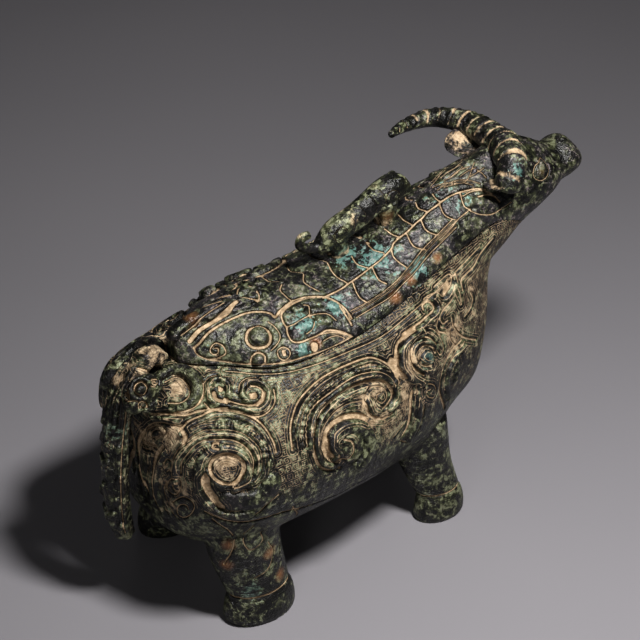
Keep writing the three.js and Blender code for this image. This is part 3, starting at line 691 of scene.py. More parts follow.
# The cast lines, drawn on the right side and mirrored: "g" groove, "b" raised band or "t" row of
# teeth, half width, depth or height, and points on the drawing, all in millimetres
VESSEL_LINES = {
    "haunch": [
        ("g", 0.7, 0.6, [(-73, -31, 73), (-71, -31.5, 74.5), (-68.5, -32.5, 75),
         (-65.5, -34, 73.5), (-64, -36, 71), (-65, -36.5, 68.5), (-67, -37, 66.5),
         (-69.5, -36, 65.5), (-72, -34, 66.5), (-73.5, -32.5, 68.5), (-74, -31.5, 71),
         (-73, -31, 73)]),
        ("b", 1.5, 1.0, [(-68, -37, 64), (-64.5, -37.5, 66), (-63, -37, 69.5), (-63, -35, 73.5),
         (-66, -32.5, 76), (-69.5, -31, 76.5), (-73.5, -29.5, 75.5), (-76, -29, 72),
         (-77, -29.5, 67.5), (-77.5, -30, 63), (-76, -31.5, 58.5), (-73.5, -34, 55),
         (-69.5, -36.5, 53.5), (-64, -39, 53.5)]),
        ("b", 3.2, 1.0, [(-70.5, -36, 59.5), (-67, -38, 59), (-63.5, -39, 58.5),
         (-59.5, -40, 59.5), (-56, -40, 63)]),
        ("g", 1.5, 0.5, [(-75.5, -31, 69), (-75.5, -32, 64), (-74, -34, 60), (-71.5, -35.5, 56.5)]),
        ("b", 1.1, 0.5, [(-74.5, -32, 69.5), (-73, -33.5, 67), (-71.5, -35, 64)]),
        ("g", 0.36, 0.5, [(-80.5, -24, 67), (-80, -24, 71), (-78, -25, 74.5), (-76, -26, 77.5),
         (-73, -27, 79), (-69.5, -29, 79), (-66, -30.5, 78.5), (-63, -32.5, 77),
         (-61, -34.5, 74.5), (-60.5, -36.5, 71.5), (-61.5, -37.5, 68.5), (-63, -38, 66),
         (-65.5, -37.5, 65), (-68.5, -37, 64.5)]),
        ("g", 0.5, 0.3, [(-70, -30.5, 76.5), (-71.5, -29.5, 77), (-70.5, -29, 78),
         (-69.5, -30, 78)]),
        ("b", 1.0, 0.7, [(-81, -22, 62), (-81, -22, 68), (-80, -23, 73), (-77.5, -24.5, 76.5),
         (-74.5, -26, 79), (-71, -27, 80), (-67, -29, 80), (-62.5, -31.5, 78.5), (-60, -34, 76),
         (-59, -36.5, 72.5), (-59.5, -38, 69), (-61.5, -38.5, 66), (-64, -38.5, 64)]),
        ("g", 0.3, 0.4, [(-81.5, -20.5, 62.5), (-81.5, -20, 67), (-80.5, -21, 72),
         (-79.5, -22.5, 76), (-77, -23.5, 78.5), (-74.5, -24.5, 80.5), (-71.5, -25.5, 81.5),
         (-68.5, -27.5, 81.5), (-65, -29, 81), (-61.5, -31, 79.5), (-59, -33.5, 77),
         (-57.5, -35.5, 74), (-58, -37.5, 70.5), (-59.5, -38.5, 67), (-62, -38.5, 65)]),
        ("t", 1.3, 0.5, [(-70.5, -25.5, 82), (-68, -26, 83), (-64.5, -27, 82.5),
         (-61.5, -29, 81.5), (-59, -31, 80), (-57, -33.5, 77.5), (-55.5, -35.5, 74.5),
         (-55.5, -37.5, 71.5)]),
        ("b", 1.0, 0.9, [(-77.5, -21.5, 80), (-75, -22, 82.5), (-72, -23, 83.5), (-68, -24, 84.5),
         (-63.5, -25.5, 84), (-60, -28, 83), (-57, -30.5, 81), (-55, -33.5, 78), (-54, -36, 74.5),
         (-54.5, -37.5, 71.5), (-56.5, -38.5, 68), (-59, -39, 65.5)]),
        ("g", 0.5, 0.6, [(-77.5, -20.5, 81), (-75, -21, 83.5), (-71, -22, 84.5), (-67, -23, 85.5),
         (-63, -24.5, 85), (-59, -27, 84), (-55.5, -30, 82), (-53.5, -33, 79), (-52.5, -36, 75),
         (-52.5, -37.5, 72)]),
        ("g", 0.42, 0.5, [(-77.5, -29.5, 61), (-76.5, -31, 57.5), (-74, -33.5, 54.5),
         (-70, -36, 52.5), (-65, -38.5, 51.5), (-61, -39.5, 52.5), (-58.5, -40.5, 55),
         (-54, -41, 57.5)]),
    ],
    "belly line": [
        ("g", 0.42, 0.45, [(-76, -31, 54.5), (-73, -34, 52), (-68, -36.5, 50), (-62.5, -38.5, 49),
         (-56, -39.5, 49), (-48.5, -39, 47.5), (-40.5, -38, 44.5), (-33, -36, 42),
         (-25, -34, 40.5), (-19, -34, 41.5), (-13, -33.5, 41.5), (-5, -31.5, 40.5)]),
    ],
    "rump": [
        ("g", 0.5, 0.6, [(-71.5, -2, 92), (-67.5, -4.5, 92.5), (-65, -9.5, 92), (-65.5, -15, 90),
         (-68.5, -18.5, 88), (-73, -19, 86), (-77.5, -16, 84.5)]),
        ("g", 0.4, 0.6, [(-74.5, -6.5, 90.5), (-70.5, -7.5, 91.5), (-69.5, -11.5, 90.5),
         (-70.5, -15, 89), (-74, -15.5, 87.5), (-77, -12.5, 86.5)]),
        ("g", 1.0, 0.6, [(-82.5, -6.5, 74.5), (-83, -1.5, 65.5), (-83, -3, 57),
         (-82.5, -6.5, 48.5)]),
        ("g", 0.9, 0.6, [(-82, -16, 73.5), (-82.5, -12.5, 67.5), (-83, -11, 61), (-83, -9.5, 54.5),
         (-82.5, -9.5, 48.5), (-82, -12, 44.5)]),
        ("b", 2.6, 0.5, [(-83, -7.5, 66.5), (-83, -4.5, 58.5), (-83, -2.5, 51.5),
         (-82.5, -1.5, 45)]),
        ("b", 1.0, 0.8, [(-81.5, -17.5, 72), (-82.5, -15, 66.5), (-82.5, -13, 60),
         (-82.5, -12, 54), (-82, -13.5, 49), (-81.5, -16.5, 45.5)]),
        ("g", 0.34, 0.4, [(-82, -17.5, 60.5), (-82.5, -16, 55.5), (-82, -17.5, 51.5),
         (-81, -19, 48.5), (-80, -22, 47)]),
        ("g", 0.36, 0.4, [(-80.5, -23.5, 59.5), (-81.5, -21.5, 57), (-82, -19, 56.5),
         (-82, -17.5, 58), (-82, -19, 61.5), (-81.5, -21.5, 64), (-80.5, -24, 64),
         (-80.5, -24, 61.5), (-81, -22.5, 59), (-81.5, -20.5, 59), (-81.5, -20.5, 60.5),
         (-81.5, -22, 61.5)]),
        ("g", 0.36, 0.4, [(-81.5, -20, 53), (-81, -22, 55.5), (-80, -25, 58), (-79, -28, 57.5),
         (-78.5, -28.5, 55), (-79, -26.5, 51), (-80, -23.5, 48.5), (-80.5, -21.5, 49.5),
         (-80.5, -22.5, 53), (-80, -25.5, 55), (-79.5, -26.5, 53.5)]),
        ("g", 0.34, 0.35, [(-82, -16.5, 67), (-82, -18.5, 70), (-81, -20.5, 69.5),
         (-81.5, -20, 67), (-82, -18, 64.5)]),
        ("g", 0.36, 0.4, [(-83, -5, 69), (-83, -5.5, 73), (-82, -8.5, 77.5), (-81, -12.5, 80.5),
         (-80, -16.5, 82), (-77.5, -20, 81.5)]),
        ("g", 0.3, 0.35, [(-83, -7.5, 71.5), (-82.5, -7.5, 74.5), (-82, -10.5, 78), (-81, -14, 80),
         (-80.5, -16.5, 79.5), (-81, -16, 77.5), (-82, -13, 74.5)]),
        ("g", 0.3, 0.35, [(-82.5, -10, 73.5), (-82.5, -10, 75.5), (-81.5, -12.5, 78),
         (-81, -15, 78), (-82, -14, 76.5), (-82.5, -11, 74)]),
        ("g", 0.3, 0.35, [(-83, -5.5, 70), (-82.5, -9.5, 71), (-82, -13.5, 72.5)]),
        ("g", 0.3, 0.35, [(-83, -5.5, 68.5), (-83, -9.5, 70), (-82.5, -13, 71.5)]),
        ("g", 0.3, 0.35, [(-83, -6, 67.5), (-83, -9, 68.5), (-82.5, -12, 69.5)]),
        ("g", 0.8, 0.5, [(-77, -20.5, 81.5), (-77, -22.5, 80), (-78, -23, 78)]),
    ],
    "over the haunch": [
        ("b", 0.9, 0.7, [(-80, -11, 84.5), (-78, -13.5, 85.5), (-75.5, -17, 85.5),
         (-72.5, -19.5, 86), (-69, -20.5, 86.5)]),
        ("g", 0.5, 0.5, [(-81.5, -8.5, 81.5), (-78.5, -14.5, 84), (-75, -19, 85),
         (-71, -20.5, 85.5), (-67, -22.5, 86), (-62.5, -24, 85)]),
        ("b", 0.9, 0.7, [(-81.5, -10, 81), (-79.5, -15, 83), (-77, -18.5, 83), (-74.5, -21, 84),
         (-70, -22, 85), (-66, -23.5, 85.5)]),
        ("b", 1.0, 1.0, [(-60, -21.5, 87.5), (-58.5, -19.5, 89), (-58.5, -17.5, 90),
         (-60, -15.5, 90.5), (-62.5, -15.5, 90), (-65, -17, 89), (-66, -19.5, 87.5),
         (-65, -22, 86.5), (-62, -24, 85.5), (-58, -26.5, 84.5), (-55, -28.5, 84), (-52, -29, 84),
         (-49.5, -28, 85.5), (-48, -26, 87.5), (-48.5, -24, 89), (-50.5, -22, 90),
         (-53, -21.5, 89.5), (-55.5, -22.5, 88.5), (-56, -24, 87), (-55, -26, 86),
         (-53, -26.5, 86)]),
        ("g", 0.45, 0.5, [(-61.5, -21.5, 87.5), (-60, -23, 86.5), (-57.5, -25, 85.5),
         (-54.5, -27, 85), (-52, -27, 85.5), (-49.5, -26, 87), (-50, -24, 88.5),
         (-52, -22.5, 89)]),
        ("g", 0.9, 0.5, [(-63.5, -18.5, 88.5), (-64, -20.5, 87.5), (-61.5, -22.5, 86.5)]),
        ("g", 0.8, 0.5, [(-53, -27.5, 85), (-51, -27.5, 86), (-49.5, -26, 87)]),
        ("g", 1.1, 0.6, [(-61, -17.5, 89.5), (-61, -18.5, 89)]),
        ("g", 1.7, 0.5, [(-53.5, -24.5, 87.5), (-53, -25, 87)]),
        ("g", 0.42, 0.5, [(-68, -20, 87.5), (-67, -22.5, 86), (-63, -24.5, 85), (-59, -27, 84),
         (-55.5, -29.5, 82.5), (-52.5, -30.5, 82.5), (-49, -30, 83.5), (-47, -29, 85.5),
         (-46, -26.5, 87.5)]),
        ("g", 0.3, 0.35, [(-67.5, -18.5, 88), (-66, -15.5, 89.5), (-62.5, -13.5, 91),
         (-59.5, -14, 91)]),
        ("g", 0.34, 0.35, [(-56.5, -22, 88), (-54.5, -20, 89.5), (-52, -20, 90.5),
         (-49.5, -21.5, 90.5)]),
    ],
    "middle": [
        ("g", 0.5, 0.6, [(-47, -38.5, 71), (-46, -36, 76.5), (-43.5, -34, 80.5), (-40, -32, 83.5),
         (-35, -30.5, 85.5), (-29, -29.5, 87), (-21.5, -29, 87.5), (-14, -29, 87.5),
         (-9, -29, 86.5), (-5, -31, 84), (-2.5, -32.5, 80.5), (-1, -34, 76)]),
        ("b", 0.7, 0.8, [(-45.5, -38.5, 71), (-44, -36.5, 76), (-42, -34.5, 79.5),
         (-38.5, -32.5, 82.5), (-33.5, -31.5, 84.5), (-27.5, -30.5, 86), (-20.5, -30, 86),
         (-14, -29.5, 86.5), (-9.5, -30, 85.5), (-6, -31.5, 83), (-3.5, -33, 79.5),
         (-2.5, -34.5, 75)]),
        ("t", 1.3, 0.5, [(-44, -38.5, 71), (-42.5, -37, 75.5), (-40, -35, 79), (-36.5, -33.5, 82),
         (-32, -32, 83.5), (-26, -31.5, 84.5), (-20, -31, 85), (-14, -30.5, 85), (-9.5, -31, 84),
         (-6.5, -32, 82)]),
        ("g", 0.35, 0.4, [(-42, -39, 70.5), (-41, -37, 75), (-38.5, -35, 79), (-34.5, -34, 81.5),
         (-29.5, -33, 82.5), (-23.5, -32, 83.5), (-18, -31.5, 84), (-13.5, -31.5, 83.5),
         (-9, -32, 82.5), (-5.5, -33, 80), (-4, -34.5, 76.5)]),
        ("b", 1.1, 1.0, [(-41, -39.5, 69), (-40, -38, 74), (-37.5, -36, 77.5), (-34, -34.5, 80.5),
         (-28.5, -33.5, 82), (-23, -32.5, 83), (-17.5, -32, 83), (-12.5, -32.5, 82.5),
         (-8, -33, 81), (-5, -34, 78), (-3.5, -35, 73.5), (-4, -36, 70.5), (-7, -36.5, 69.5)]),
        ("g", 0.6, 0.7, [(-29, -40, 56.5), (-34.5, -40.5, 58.5), (-38, -40.5, 62),
         (-39.5, -40, 67), (-39.5, -39, 70.5), (-38, -37.5, 74.5), (-35, -36, 78),
         (-30.5, -34.5, 80), (-24.5, -33.5, 81.5), (-18.5, -33, 81.5), (-13, -33, 81),
         (-8.5, -33.5, 79.5), (-6, -34.5, 77), (-5, -35.5, 73.5), (-7, -36, 71.5),
         (-9.5, -36.5, 70.5)]),
        ("b", 1.2, 0.6, [(-32, -40, 58.5), (-36.5, -40.5, 62.5), (-38, -40, 67.5),
         (-37.5, -38.5, 71.5), (-35.5, -37.5, 75.5), (-31, -35.5, 78), (-26, -35, 79),
         (-20.5, -34, 79.5), (-15, -34, 79.5)]),
        ("g", 0.3, 0.4, [(-29.5, -40, 59), (-33.5, -40.5, 61.5), (-36, -40, 65.5),
         (-36.5, -39, 69.5), (-35, -38, 73), (-32, -37, 75.5), (-28, -36, 77), (-23, -35.5, 77.5),
         (-17.5, -35.5, 76.5)]),
        ("g", 1.1, 0.8, [(-33, -40, 62.5), (-35, -40, 66.5), (-34.5, -39, 70), (-33, -38, 72.5),
         (-29.5, -37.5, 74), (-25.5, -37, 74), (-20.5, -37, 72.5), (-16.5, -37.5, 69.5)]),
        ("b", 2.2, 1.6, [(-31, -40, 64), (-32, -39.5, 68), (-30, -38.5, 70), (-26.5, -38, 71),
         (-22, -38, 70), (-18.5, -38.5, 66.5), (-17, -38.5, 61.5), (-18.5, -38.5, 57),
         (-21, -38.5, 54.5)]),
        ("b", 4.2, 1.0, [(-24, -39, 65.5), (-24, -39.5, 61.5)]),
        ("g", 0.5, 0.6, [(-31.5, -40, 64), (-30, -40, 60.5), (-26.5, -40, 60), (-24.5, -39.5, 62),
         (-25, -39, 65.5), (-28, -39, 67.5), (-30, -39.5, 67.5)]),
        ("g", 0.36, 0.4, [(-16.5, -35.5, 77), (-15, -34.5, 78.5), (-12.5, -34, 79),
         (-9.5, -34, 78), (-7.5, -35, 76), (-7.5, -35.5, 73.5), (-9.5, -36, 72.5),
         (-11.5, -36, 74), (-11.5, -35.5, 76), (-10, -35, 76)]),
        ("b", 2.0, 0.8, [(-15, -36, 74.5), (-12.5, -36.5, 71.5)]),
        ("g", 0.6, 0.5, [(-17, -35.5, 76), (-16.5, -36.5, 73), (-15, -37.5, 70), (-10, -37.5, 67),
         (-6, -37, 67)]),
        ("g", 1.7, 0.7, [(-2.5, -31, 84.5), (-2, -32.5, 81), (-1.5, -33.5, 78)]),
    ],
    "chest": [
        ("b", 1.7, 1.4, [(8.5, -33.5, 72), (4, -33.5, 75.5), (1.5, -32.5, 79.5), (1.5, -31, 83.5),
         (4, -29.5, 86.5), (7.5, -28.5, 88), (11.5, -28, 87.5)]),
        ("g", 0.7, 0.7, [(1, -33.5, 76.5), (-1, -32.5, 80.5), (-0.5, -30.5, 84), (1.5, -29, 87.5),
         (5.5, -28, 89), (9.5, -27, 89.5)]),
        ("g", 0.5, 0.5, [(10, -32.5, 73.5), (6.5, -32.5, 77), (5, -31.5, 81), (5.5, -30, 84),
         (8, -29, 86), (12, -28.5, 86), (15.5, -28.5, 84), (18, -28.5, 80.5)]),
        ("b", 1.1, 0.6, [(13, -31.5, 73.5), (9, -32, 76.5), (7, -31.5, 80.5), (8, -30, 83.5),
         (11, -29, 85), (14.5, -29, 83.5), (16.5, -29, 80.5)]),
        ("g", 0.4, 0.5, [(17, -29.5, 78), (15.5, -29.5, 81), (12.5, -29.5, 83), (9.5, -30.5, 82.5),
         (8, -31.5, 81), (9, -31.5, 78), (11.5, -31.5, 76), (14.5, -31, 75)]),
        ("b", 2.2, 0.9, [(11.5, -30.5, 79.5), (12.5, -30.5, 79)]),
        ("g", 0.36, 0.4, [(13, -27.5, 88), (16.5, -27, 87), (19.5, -27.5, 84), (21, -27.5, 80.5),
         (21.5, -28, 77), (19.5, -29, 76), (18, -29, 78.5)]),
        ("g", 0.55, 0.6, [(4.5, -27.5, 89.5), (8, -27, 90), (12.5, -26.5, 90.5), (16, -25.5, 91),
         (19.5, -24.5, 91.5), (20, -24, 93), (18, -23, 95), (15.5, -23.5, 94.5),
         (15.5, -24.5, 93.5)]),
        ("b", 1.1, 0.8, [(12.5, -27, 89), (17, -26, 89), (20.5, -25, 90), (22, -23.5, 92.5),
         (21, -23, 94.5)]),
        ("g", 1.2, 0.7, [(28.5, -20, 98), (27.5, -21, 96), (25.5, -22, 94.5)]),
        ("g", 0.36, 0.4, [(16.5, -22.5, 96), (19.5, -22, 96.5), (23, -22, 96), (25, -22.5, 94),
         (28, -21.5, 95), (30, -20.5, 97), (30, -19.5, 99.5), (26, -20, 99), (22, -21, 98)]),
        ("b", 1.0, 0.7, [(26, -23, 92.5), (29, -22, 93.5), (31.5, -20.5, 95.5),
         (31.5, -19.5, 98.5)]),
        ("g", 0.45, 0.5, [(31, -21.5, 93), (28.5, -22.5, 91), (25, -24, 90), (22, -25, 88.5),
         (20, -26.5, 86.5), (20.5, -27, 84), (23.5, -26.5, 82)]),
        ("g", 0.4, 0.4, [(23.5, -24.5, 89.5), (22, -25.5, 88), (23, -26, 85.5), (25.5, -25, 85.5)]),
        ("g", 0.4, 0.4, [(31.5, -19, 99), (32, -20.5, 95.5), (33, -21.5, 91), (33, -22.5, 87.5)]),
        ("g", 0.36, 0.4, [(30.5, -21.5, 93.5), (31.5, -22, 90), (32.5, -22.5, 87.5)]),
        ("g", 0.5, 0.5, [(52, -14.5, 103), (47.5, -15.5, 101), (44.5, -16.5, 99.5),
         (41.5, -18, 97.5), (37.5, -19, 96.5), (34.5, -20, 95.5), (34.5, -21, 92)]),
        ("g", 0.5, 0.5, [(38, -20.5, 89.5), (39, -21, 86.5), (37.5, -22, 84), (34.5, -23, 82.5)]),
        ("g", 0.5, 0.5, [(27.5, -24.5, 85.5), (28, -25, 82), (31, -25, 77.5), (34.5, -24, 74),
         (40, -22, 70)]),
        ("g", 0.4, 0.4, [(26, -26, 81.5), (26, -26.5, 78), (28.5, -26, 74.5)]),
        ("g", 0.7, 0.6, [(32, -25, 74.5), (26.5, -26.5, 74), (23, -28, 72), (20.5, -29.5, 69),
         (19, -30, 64.5), (20, -29.5, 59), (25, -25.5, 49)]),
        ("b", 1.0, 0.8, [(33.5, -24.5, 72), (29, -26, 71.5), (25.5, -27.5, 69.5), (23, -28.5, 66),
         (23, -28.5, 61), (25.5, -26.5, 54)]),
        ("t", 1.2, 0.4, [(32.5, -25, 69), (29, -26, 67.5), (27.5, -26.5, 64), (27, -26.5, 58.5)]),
        ("g", 0.36, 0.4, [(8.5, -34, 66.5), (8, -34, 69.5), (10.5, -33, 70), (14.5, -32, 67.5),
         (16.5, -31.5, 64), (15, -32, 62), (11.5, -33, 64.5), (10.5, -33, 67), (13, -32.5, 66.5)]),
        ("g", 1.0, 0.7, [(4.5, -34.5, 71.5), (3, -35, 68), (2.5, -35.5, 63), (1.5, -35.5, 57.5),
         (-1, -35.5, 54.5)]),
        ("b", 1.1, 0.9, [(7, -34, 71), (6, -34.5, 66.5), (6, -34.5, 60.5), (5, -34.5, 55),
         (3, -34, 50.5)]),
        ("g", 0.4, 0.4, [(-5.5, -37, 57), (-2.5, -36.5, 59), (0.5, -36, 61)]),
        ("g", 0.36, 0.4, [(-1.5, -35.5, 53), (4, -33.5, 48.5), (7.5, -33, 51), (9, -33.5, 56),
         (9.5, -33.5, 62)]),
    ],
    "under the rim": [
        ("g", 0.36, 0.4, [(-56.5, -14.5, 92), (-47, -21.5, 91), (-38.5, -25, 90.5), (-28, -26, 90),
         (-16, -26.5, 90.5), (-4, -26.5, 91), (5, -25.5, 93), (14.5, -23.5, 95), (24.5, -21.5, 97),
         (34.5, -18.5, 99.5), (45.5, -15.5, 102.5)]),
    ],
}
LID_LINES = {
    "scales": [
        ("g", 0.5, 0.55, [(-15.5, -12, 104), (-10, -12, 104.5), (-5.5, -11.5, 105.5),
         (-1.5, -11, 106), (3.5, -10.5, 107.5), (8, -10, 108.5), (13, -9, 110.5),
         (14.5, -8, 111.5), (17.5, -7.5, 112.5), (20.5, -7.5, 113.5), (24, -7, 115),
         (27, -7, 116.5), (29.5, -6.5, 117.5), (33, -6.5, 118.5), (35, -6.5, 119.5),
         (39, -6.5, 120.5), (42, -7, 121), (44.5, -7.5, 121)]),
        ("g", 0.42, 0.5, [(-25.5, -1, 106.5), (-27.5, -3, 106), (-27.5, -6, 105.5),
         (-27, -9, 105)]),
        ("g", 0.42, 0.5, [(-16.5, -0.5, 107), (-18.5, -3.5, 106.5), (-18, -6.5, 106),
         (-16.5, -9.5, 105)]),
        ("g", 0.42, 0.5, [(-7, -0.5, 108), (-8, -4.5, 107), (-8, -7.5, 106.5), (-6.5, -11, 105.5)]),
        ("g", 0.42, 0.5, [(1, -3, 109), (0.5, -6.5, 108), (1.5, -8.5, 107.5), (3, -10.5, 107.5)]),
        ("g", 0.42, 0.5, [(8.5, -2.5, 111), (8, -1.5, 111), (8, -5.5, 110), (10, -8.5, 109.5)]),
        ("g", 0.42, 0.5, [(15.5, -1.5, 113.5), (16, -5, 113), (17.5, -7.5, 112.5)]),
        ("g", 0.42, 0.5, [(22, -0.5, 116), (22, -3.5, 115.5), (23, -6.5, 115)]),
        ("g", 0.42, 0.5, [(28.5, -1, 119), (28, -3.5, 118), (29.5, -6, 117.5)]),
        ("g", 0.42, 0.5, [(34.5, -2.5, 121), (34.5, -5, 120), (35.5, -6.5, 119.5)]),
        ("g", 0.42, 0.5, [(-4.5, -11.5, 105.5), (-5.5, -15, 104), (-5.5, -17.5, 102.5),
         (-4, -19.5, 101)]),
        ("g", 0.42, 0.5, [(4, -10.5, 107.5), (3.5, -13.5, 106), (3.5, -15.5, 105),
         (5, -17.5, 104)]),
        ("g", 0.42, 0.5, [(13, -9, 110.5), (12, -11.5, 109), (12.5, -14, 108), (14, -16.5, 106.5)]),
        ("g", 0.42, 0.5, [(20, -8, 113), (19.5, -11, 111.5), (20, -13, 110.5), (22.5, -15, 109.5)]),
        ("g", 0.42, 0.5, [(26.5, -7, 116), (26, -10, 114), (27, -12, 113), (29, -13.5, 112)]),
        ("g", 0.42, 0.5, [(34.5, -6.5, 119), (34, -9, 117.5), (34.5, -10.5, 116),
         (36.5, -12.5, 115)]),
        ("g", 0.42, 0.5, [(42.5, -7.5, 121), (42, -9.5, 119), (42, -11, 117.5), (43.5, -12, 116)]),
    ],
    "border": [
        ("b", 0.9, 0.5, [(-10.5, -20.5, 100), (-3, -20, 100.5), (4, -19.5, 102), (9.5, -18.5, 104),
         (15.5, -17.5, 106), (22.5, -15.5, 109), (29, -14, 111.5), (36.5, -13, 114.5),
         (42, -12.5, 116)]),
        ("g", 0.28, 0.5, [(-10.5, -20.5, 100), (-3, -20, 100.5), (4, -19.5, 102),
         (9.5, -18.5, 104), (15.5, -17.5, 106), (22.5, -15.5, 109), (29, -14, 111.5),
         (36.5, -13, 114.5), (42, -12.5, 116)]),
        ("g", 0.34, 0.4, [(-10.5, -19.5, 100.5), (-3, -19.5, 101.5), (4, -19, 103),
         (9.5, -18, 104.5), (15.5, -16.5, 107), (22.5, -14.5, 110), (29, -13.5, 112.5),
         (36, -12, 115)]),
        ("g", 0.34, 0.4, [(-10, -21.5, 98.5), (-3, -21.5, 100), (4, -21, 101), (9.5, -20, 103),
         (16, -18.5, 105), (23, -16.5, 108), (29.5, -15.5, 110.5), (36.5, -14, 113)]),
    ],
    "face": [
        ("g", 0.6, 0.5, [(-63, -6, 98.5), (-61, -6.5, 100), (-57, -6, 102.5), (-52, -6, 104),
         (-47.5, -6, 104.5), (-42.5, -6.5, 105), (-38.5, -8, 104.5), (-36, -10, 104),
         (-35.5, -12, 103.5), (-32.5, -10.5, 104), (-29, -9.5, 104.5), (-26.5, -9, 105)]),
        ("g", 0.45, 0.45, [(-63, -6, 98.5), (-62.5, -7.5, 96.5), (-60, -10, 95),
         (-56.5, -12.5, 94.5), (-52, -16.5, 94), (-46.5, -20.5, 94), (-40, -24, 94),
         (-33, -25, 94), (-23, -25, 93.5), (-14, -24.5, 94)]),
        ("g", 0.45, 0.5, [(-26.5, -9, 105), (-22, -9.5, 105), (-18, -11, 104.5),
         (-15.5, -12.5, 104), (-13.5, -15, 103), (-12, -18, 101), (-11.5, -21.5, 99)]),
        ("g", 0.5, 0.5, [(-34, -16.5, 101.5), (-34, -14.5, 102.5), (-33, -12, 103.5),
         (-30, -10.5, 104), (-26, -10, 104.5), (-22, -10.5, 104.5), (-18, -12, 104),
         (-15, -14, 103), (-13.5, -16.5, 102), (-13, -19.5, 100), (-12.5, -23, 97.5)]),
        ("g", 0.4, 0.45, [(-33.5, -16.5, 101.5), (-30.5, -16.5, 101.5), (-27, -16, 102),
         (-24.5, -15.5, 102), (-23.5, -13.5, 103), (-25, -12.5, 103.5)]),
        ("g", 0.4, 0.45, [(-24.5, -16, 102), (-21.5, -16.5, 102), (-18.5, -17.5, 101),
         (-17, -20, 99.5)]),
        ("g", 0.36, 0.4, [(-25, -16.5, 102), (-24.5, -18, 101), (-26.5, -20, 99.5),
         (-29, -20.5, 99)]),
        ("g", 0.5, 0.5, [(-34, -16.5, 101.5), (-35, -19, 100), (-34.5, -21, 98.5), (-32, -22, 98),
         (-29, -22, 98), (-25.5, -22, 98), (-21.5, -21.5, 98), (-17.5, -23, 97),
         (-14, -24.5, 94.5)]),
        ("g", 0.36, 0.4, [(-26, -22, 98), (-22.5, -22, 97.5), (-19, -23, 97), (-16, -24, 95.5),
         (-13.5, -24.5, 94)]),
        ("g", 0.34, 0.4, [(-24.5, -23.5, 96), (-22, -23.5, 96.5), (-19, -23.5, 96),
         (-16.5, -24.5, 94.5)]),
        ("g", 0.65, 0.6, [(-42, -12.5, 102.5), (-40.5, -14.5, 102), (-40.5, -17, 100.5),
         (-42.5, -18.5, 99), (-45, -18, 98.5), (-47.5, -16.5, 99), (-48, -14, 100.5),
         (-46, -12, 102), (-44, -12, 102.5), (-42, -12.5, 102.5)]),
        ("b", 2.9, 1.3, [(-44, -15, 101), (-44, -15.5, 101)]),
        ("g", 0.36, 0.4, [(-38.5, -12.5, 103), (-37.5, -15, 102), (-37.5, -18, 100.5),
         (-39.5, -19.5, 99), (-42.5, -20, 97.5)]),
        ("g", 0.4, 0.45, [(-59.5, -10, 95), (-57.5, -11.5, 95.5), (-55, -12.5, 97), (-55, -11, 99),
         (-56.5, -9.5, 100), (-58, -9, 99), (-59, -9.5, 97.5), (-58, -10.5, 96.5), (-57, -11, 97),
         (-56.5, -10.5, 98.5), (-57.5, -10, 98.5)]),
        ("g", 0.4, 0.45, [(-40.5, -21, 97.5), (-38.5, -21, 98), (-37, -22.5, 97),
         (-37.5, -23.5, 95.5), (-39.5, -23.5, 94.5), (-41, -22.5, 95.5), (-41, -21.5, 97)]),
        ("g", 0.8, 0.4, [(-39, -22, 97), (-39, -22.5, 96)]),
        ("g", 0.5, 0.5, [(-49.5, -18.5, 95), (-48.5, -18, 96.5), (-46.5, -18.5, 97.5),
         (-45, -20, 96.5), (-45.5, -21, 95)]),
        ("b", 1.5, 0.8, [(-47.5, -19.5, 95.5), (-47, -20, 95.5)]),
        ("b", 1.8, 0.9, [(-28, -12.5, 103.5), (-23, -12.5, 103.5), (-18.5, -14, 103),
         (-15.5, -16.5, 102)]),
        ("b", 2.0, 0.9, [(-32.5, -19.5, 99.5), (-29, -18, 100.5), (-26.5, -18.5, 100.5)]),
        ("b", 1.2, 0.6, [(-23, -18, 100.5), (-20, -20, 100)]),
        ("g", 1.5, 0.5, [(-28, -23.5, 96.5), (-28.5, -25, 95)]),
        ("b", 1.0, 0.5, [(-35, -23.5, 96), (-32.5, -24, 95.5)]),
    ],
    "star": [
        ("b", 0.7, 0.6, [(-33, -1, 106), (-33, -4, 106), (-30, -2.5, 106)]),
        ("b", 0.7, 0.6, [(-31, -5, 105.5), (-30, -7.5, 105), (-32.5, -7.5, 105)]),
        ("b", 0.7, 0.6, [(-34.5, -9, 104.5), (-34, -6.5, 105), (-36, -5.5, 105.5)]),
    ],
    "nose": [
        ("b", 2.0, 1.3, [(-66.5, -0.5, 102), (-63.5, 0, 104), (-59.5, 0, 104.5), (-54, -1, 105),
         (-47, -1.5, 105.5), (-39.5, -2.5, 106), (-35.5, -1.5, 106)]),
        ("g", 0.9, 0.6, [(-63.5, -4.5, 100.5), (-59.5, -4, 103), (-54.5, -4, 104.5),
         (-49.5, -3.5, 105), (-44, -2, 105.5)]),
        ("g", 0.36, 0.4, [(-65, -2, 102), (-60, -2, 104), (-54.5, -1.5, 105),
         (-47.5, -0.5, 105.5)]),
        ("g", 0.4, 0.4, [(-41.5, -1, 106), (-39, -3.5, 105.5), (-36.5, -4, 105.5),
         (-35.5, -1.5, 106), (-36, -2, 106)]),
    ],
    "neck": [
        ("g", 0.42, 0.4, [(44.5, -7.5, 121), (48.5, -8.5, 121), (51.5, -9.5, 120)]),
        ("g", 0.45, 0.4, [(48, -10.5, 119), (51, -10.5, 118.5), (54, -11.5, 117.5),
         (56, -12.5, 115)]),
        ("g", 0.36, 0.35, [(43, -8.5, 120), (46, -8.5, 120.5), (49.5, -9.5, 120.5),
         (53.5, -11, 118.5)]),
        ("b", 1.6, 0.6, [(45, -11, 118), (49, -12, 117), (53, -13, 114.5)]),
        ("g", 0.36, 0.35, [(43, -12, 116), (46.5, -13.5, 114), (51.5, -14, 112.5),
         (56.5, -13, 112.5), (60.5, -13, 113.5)]),
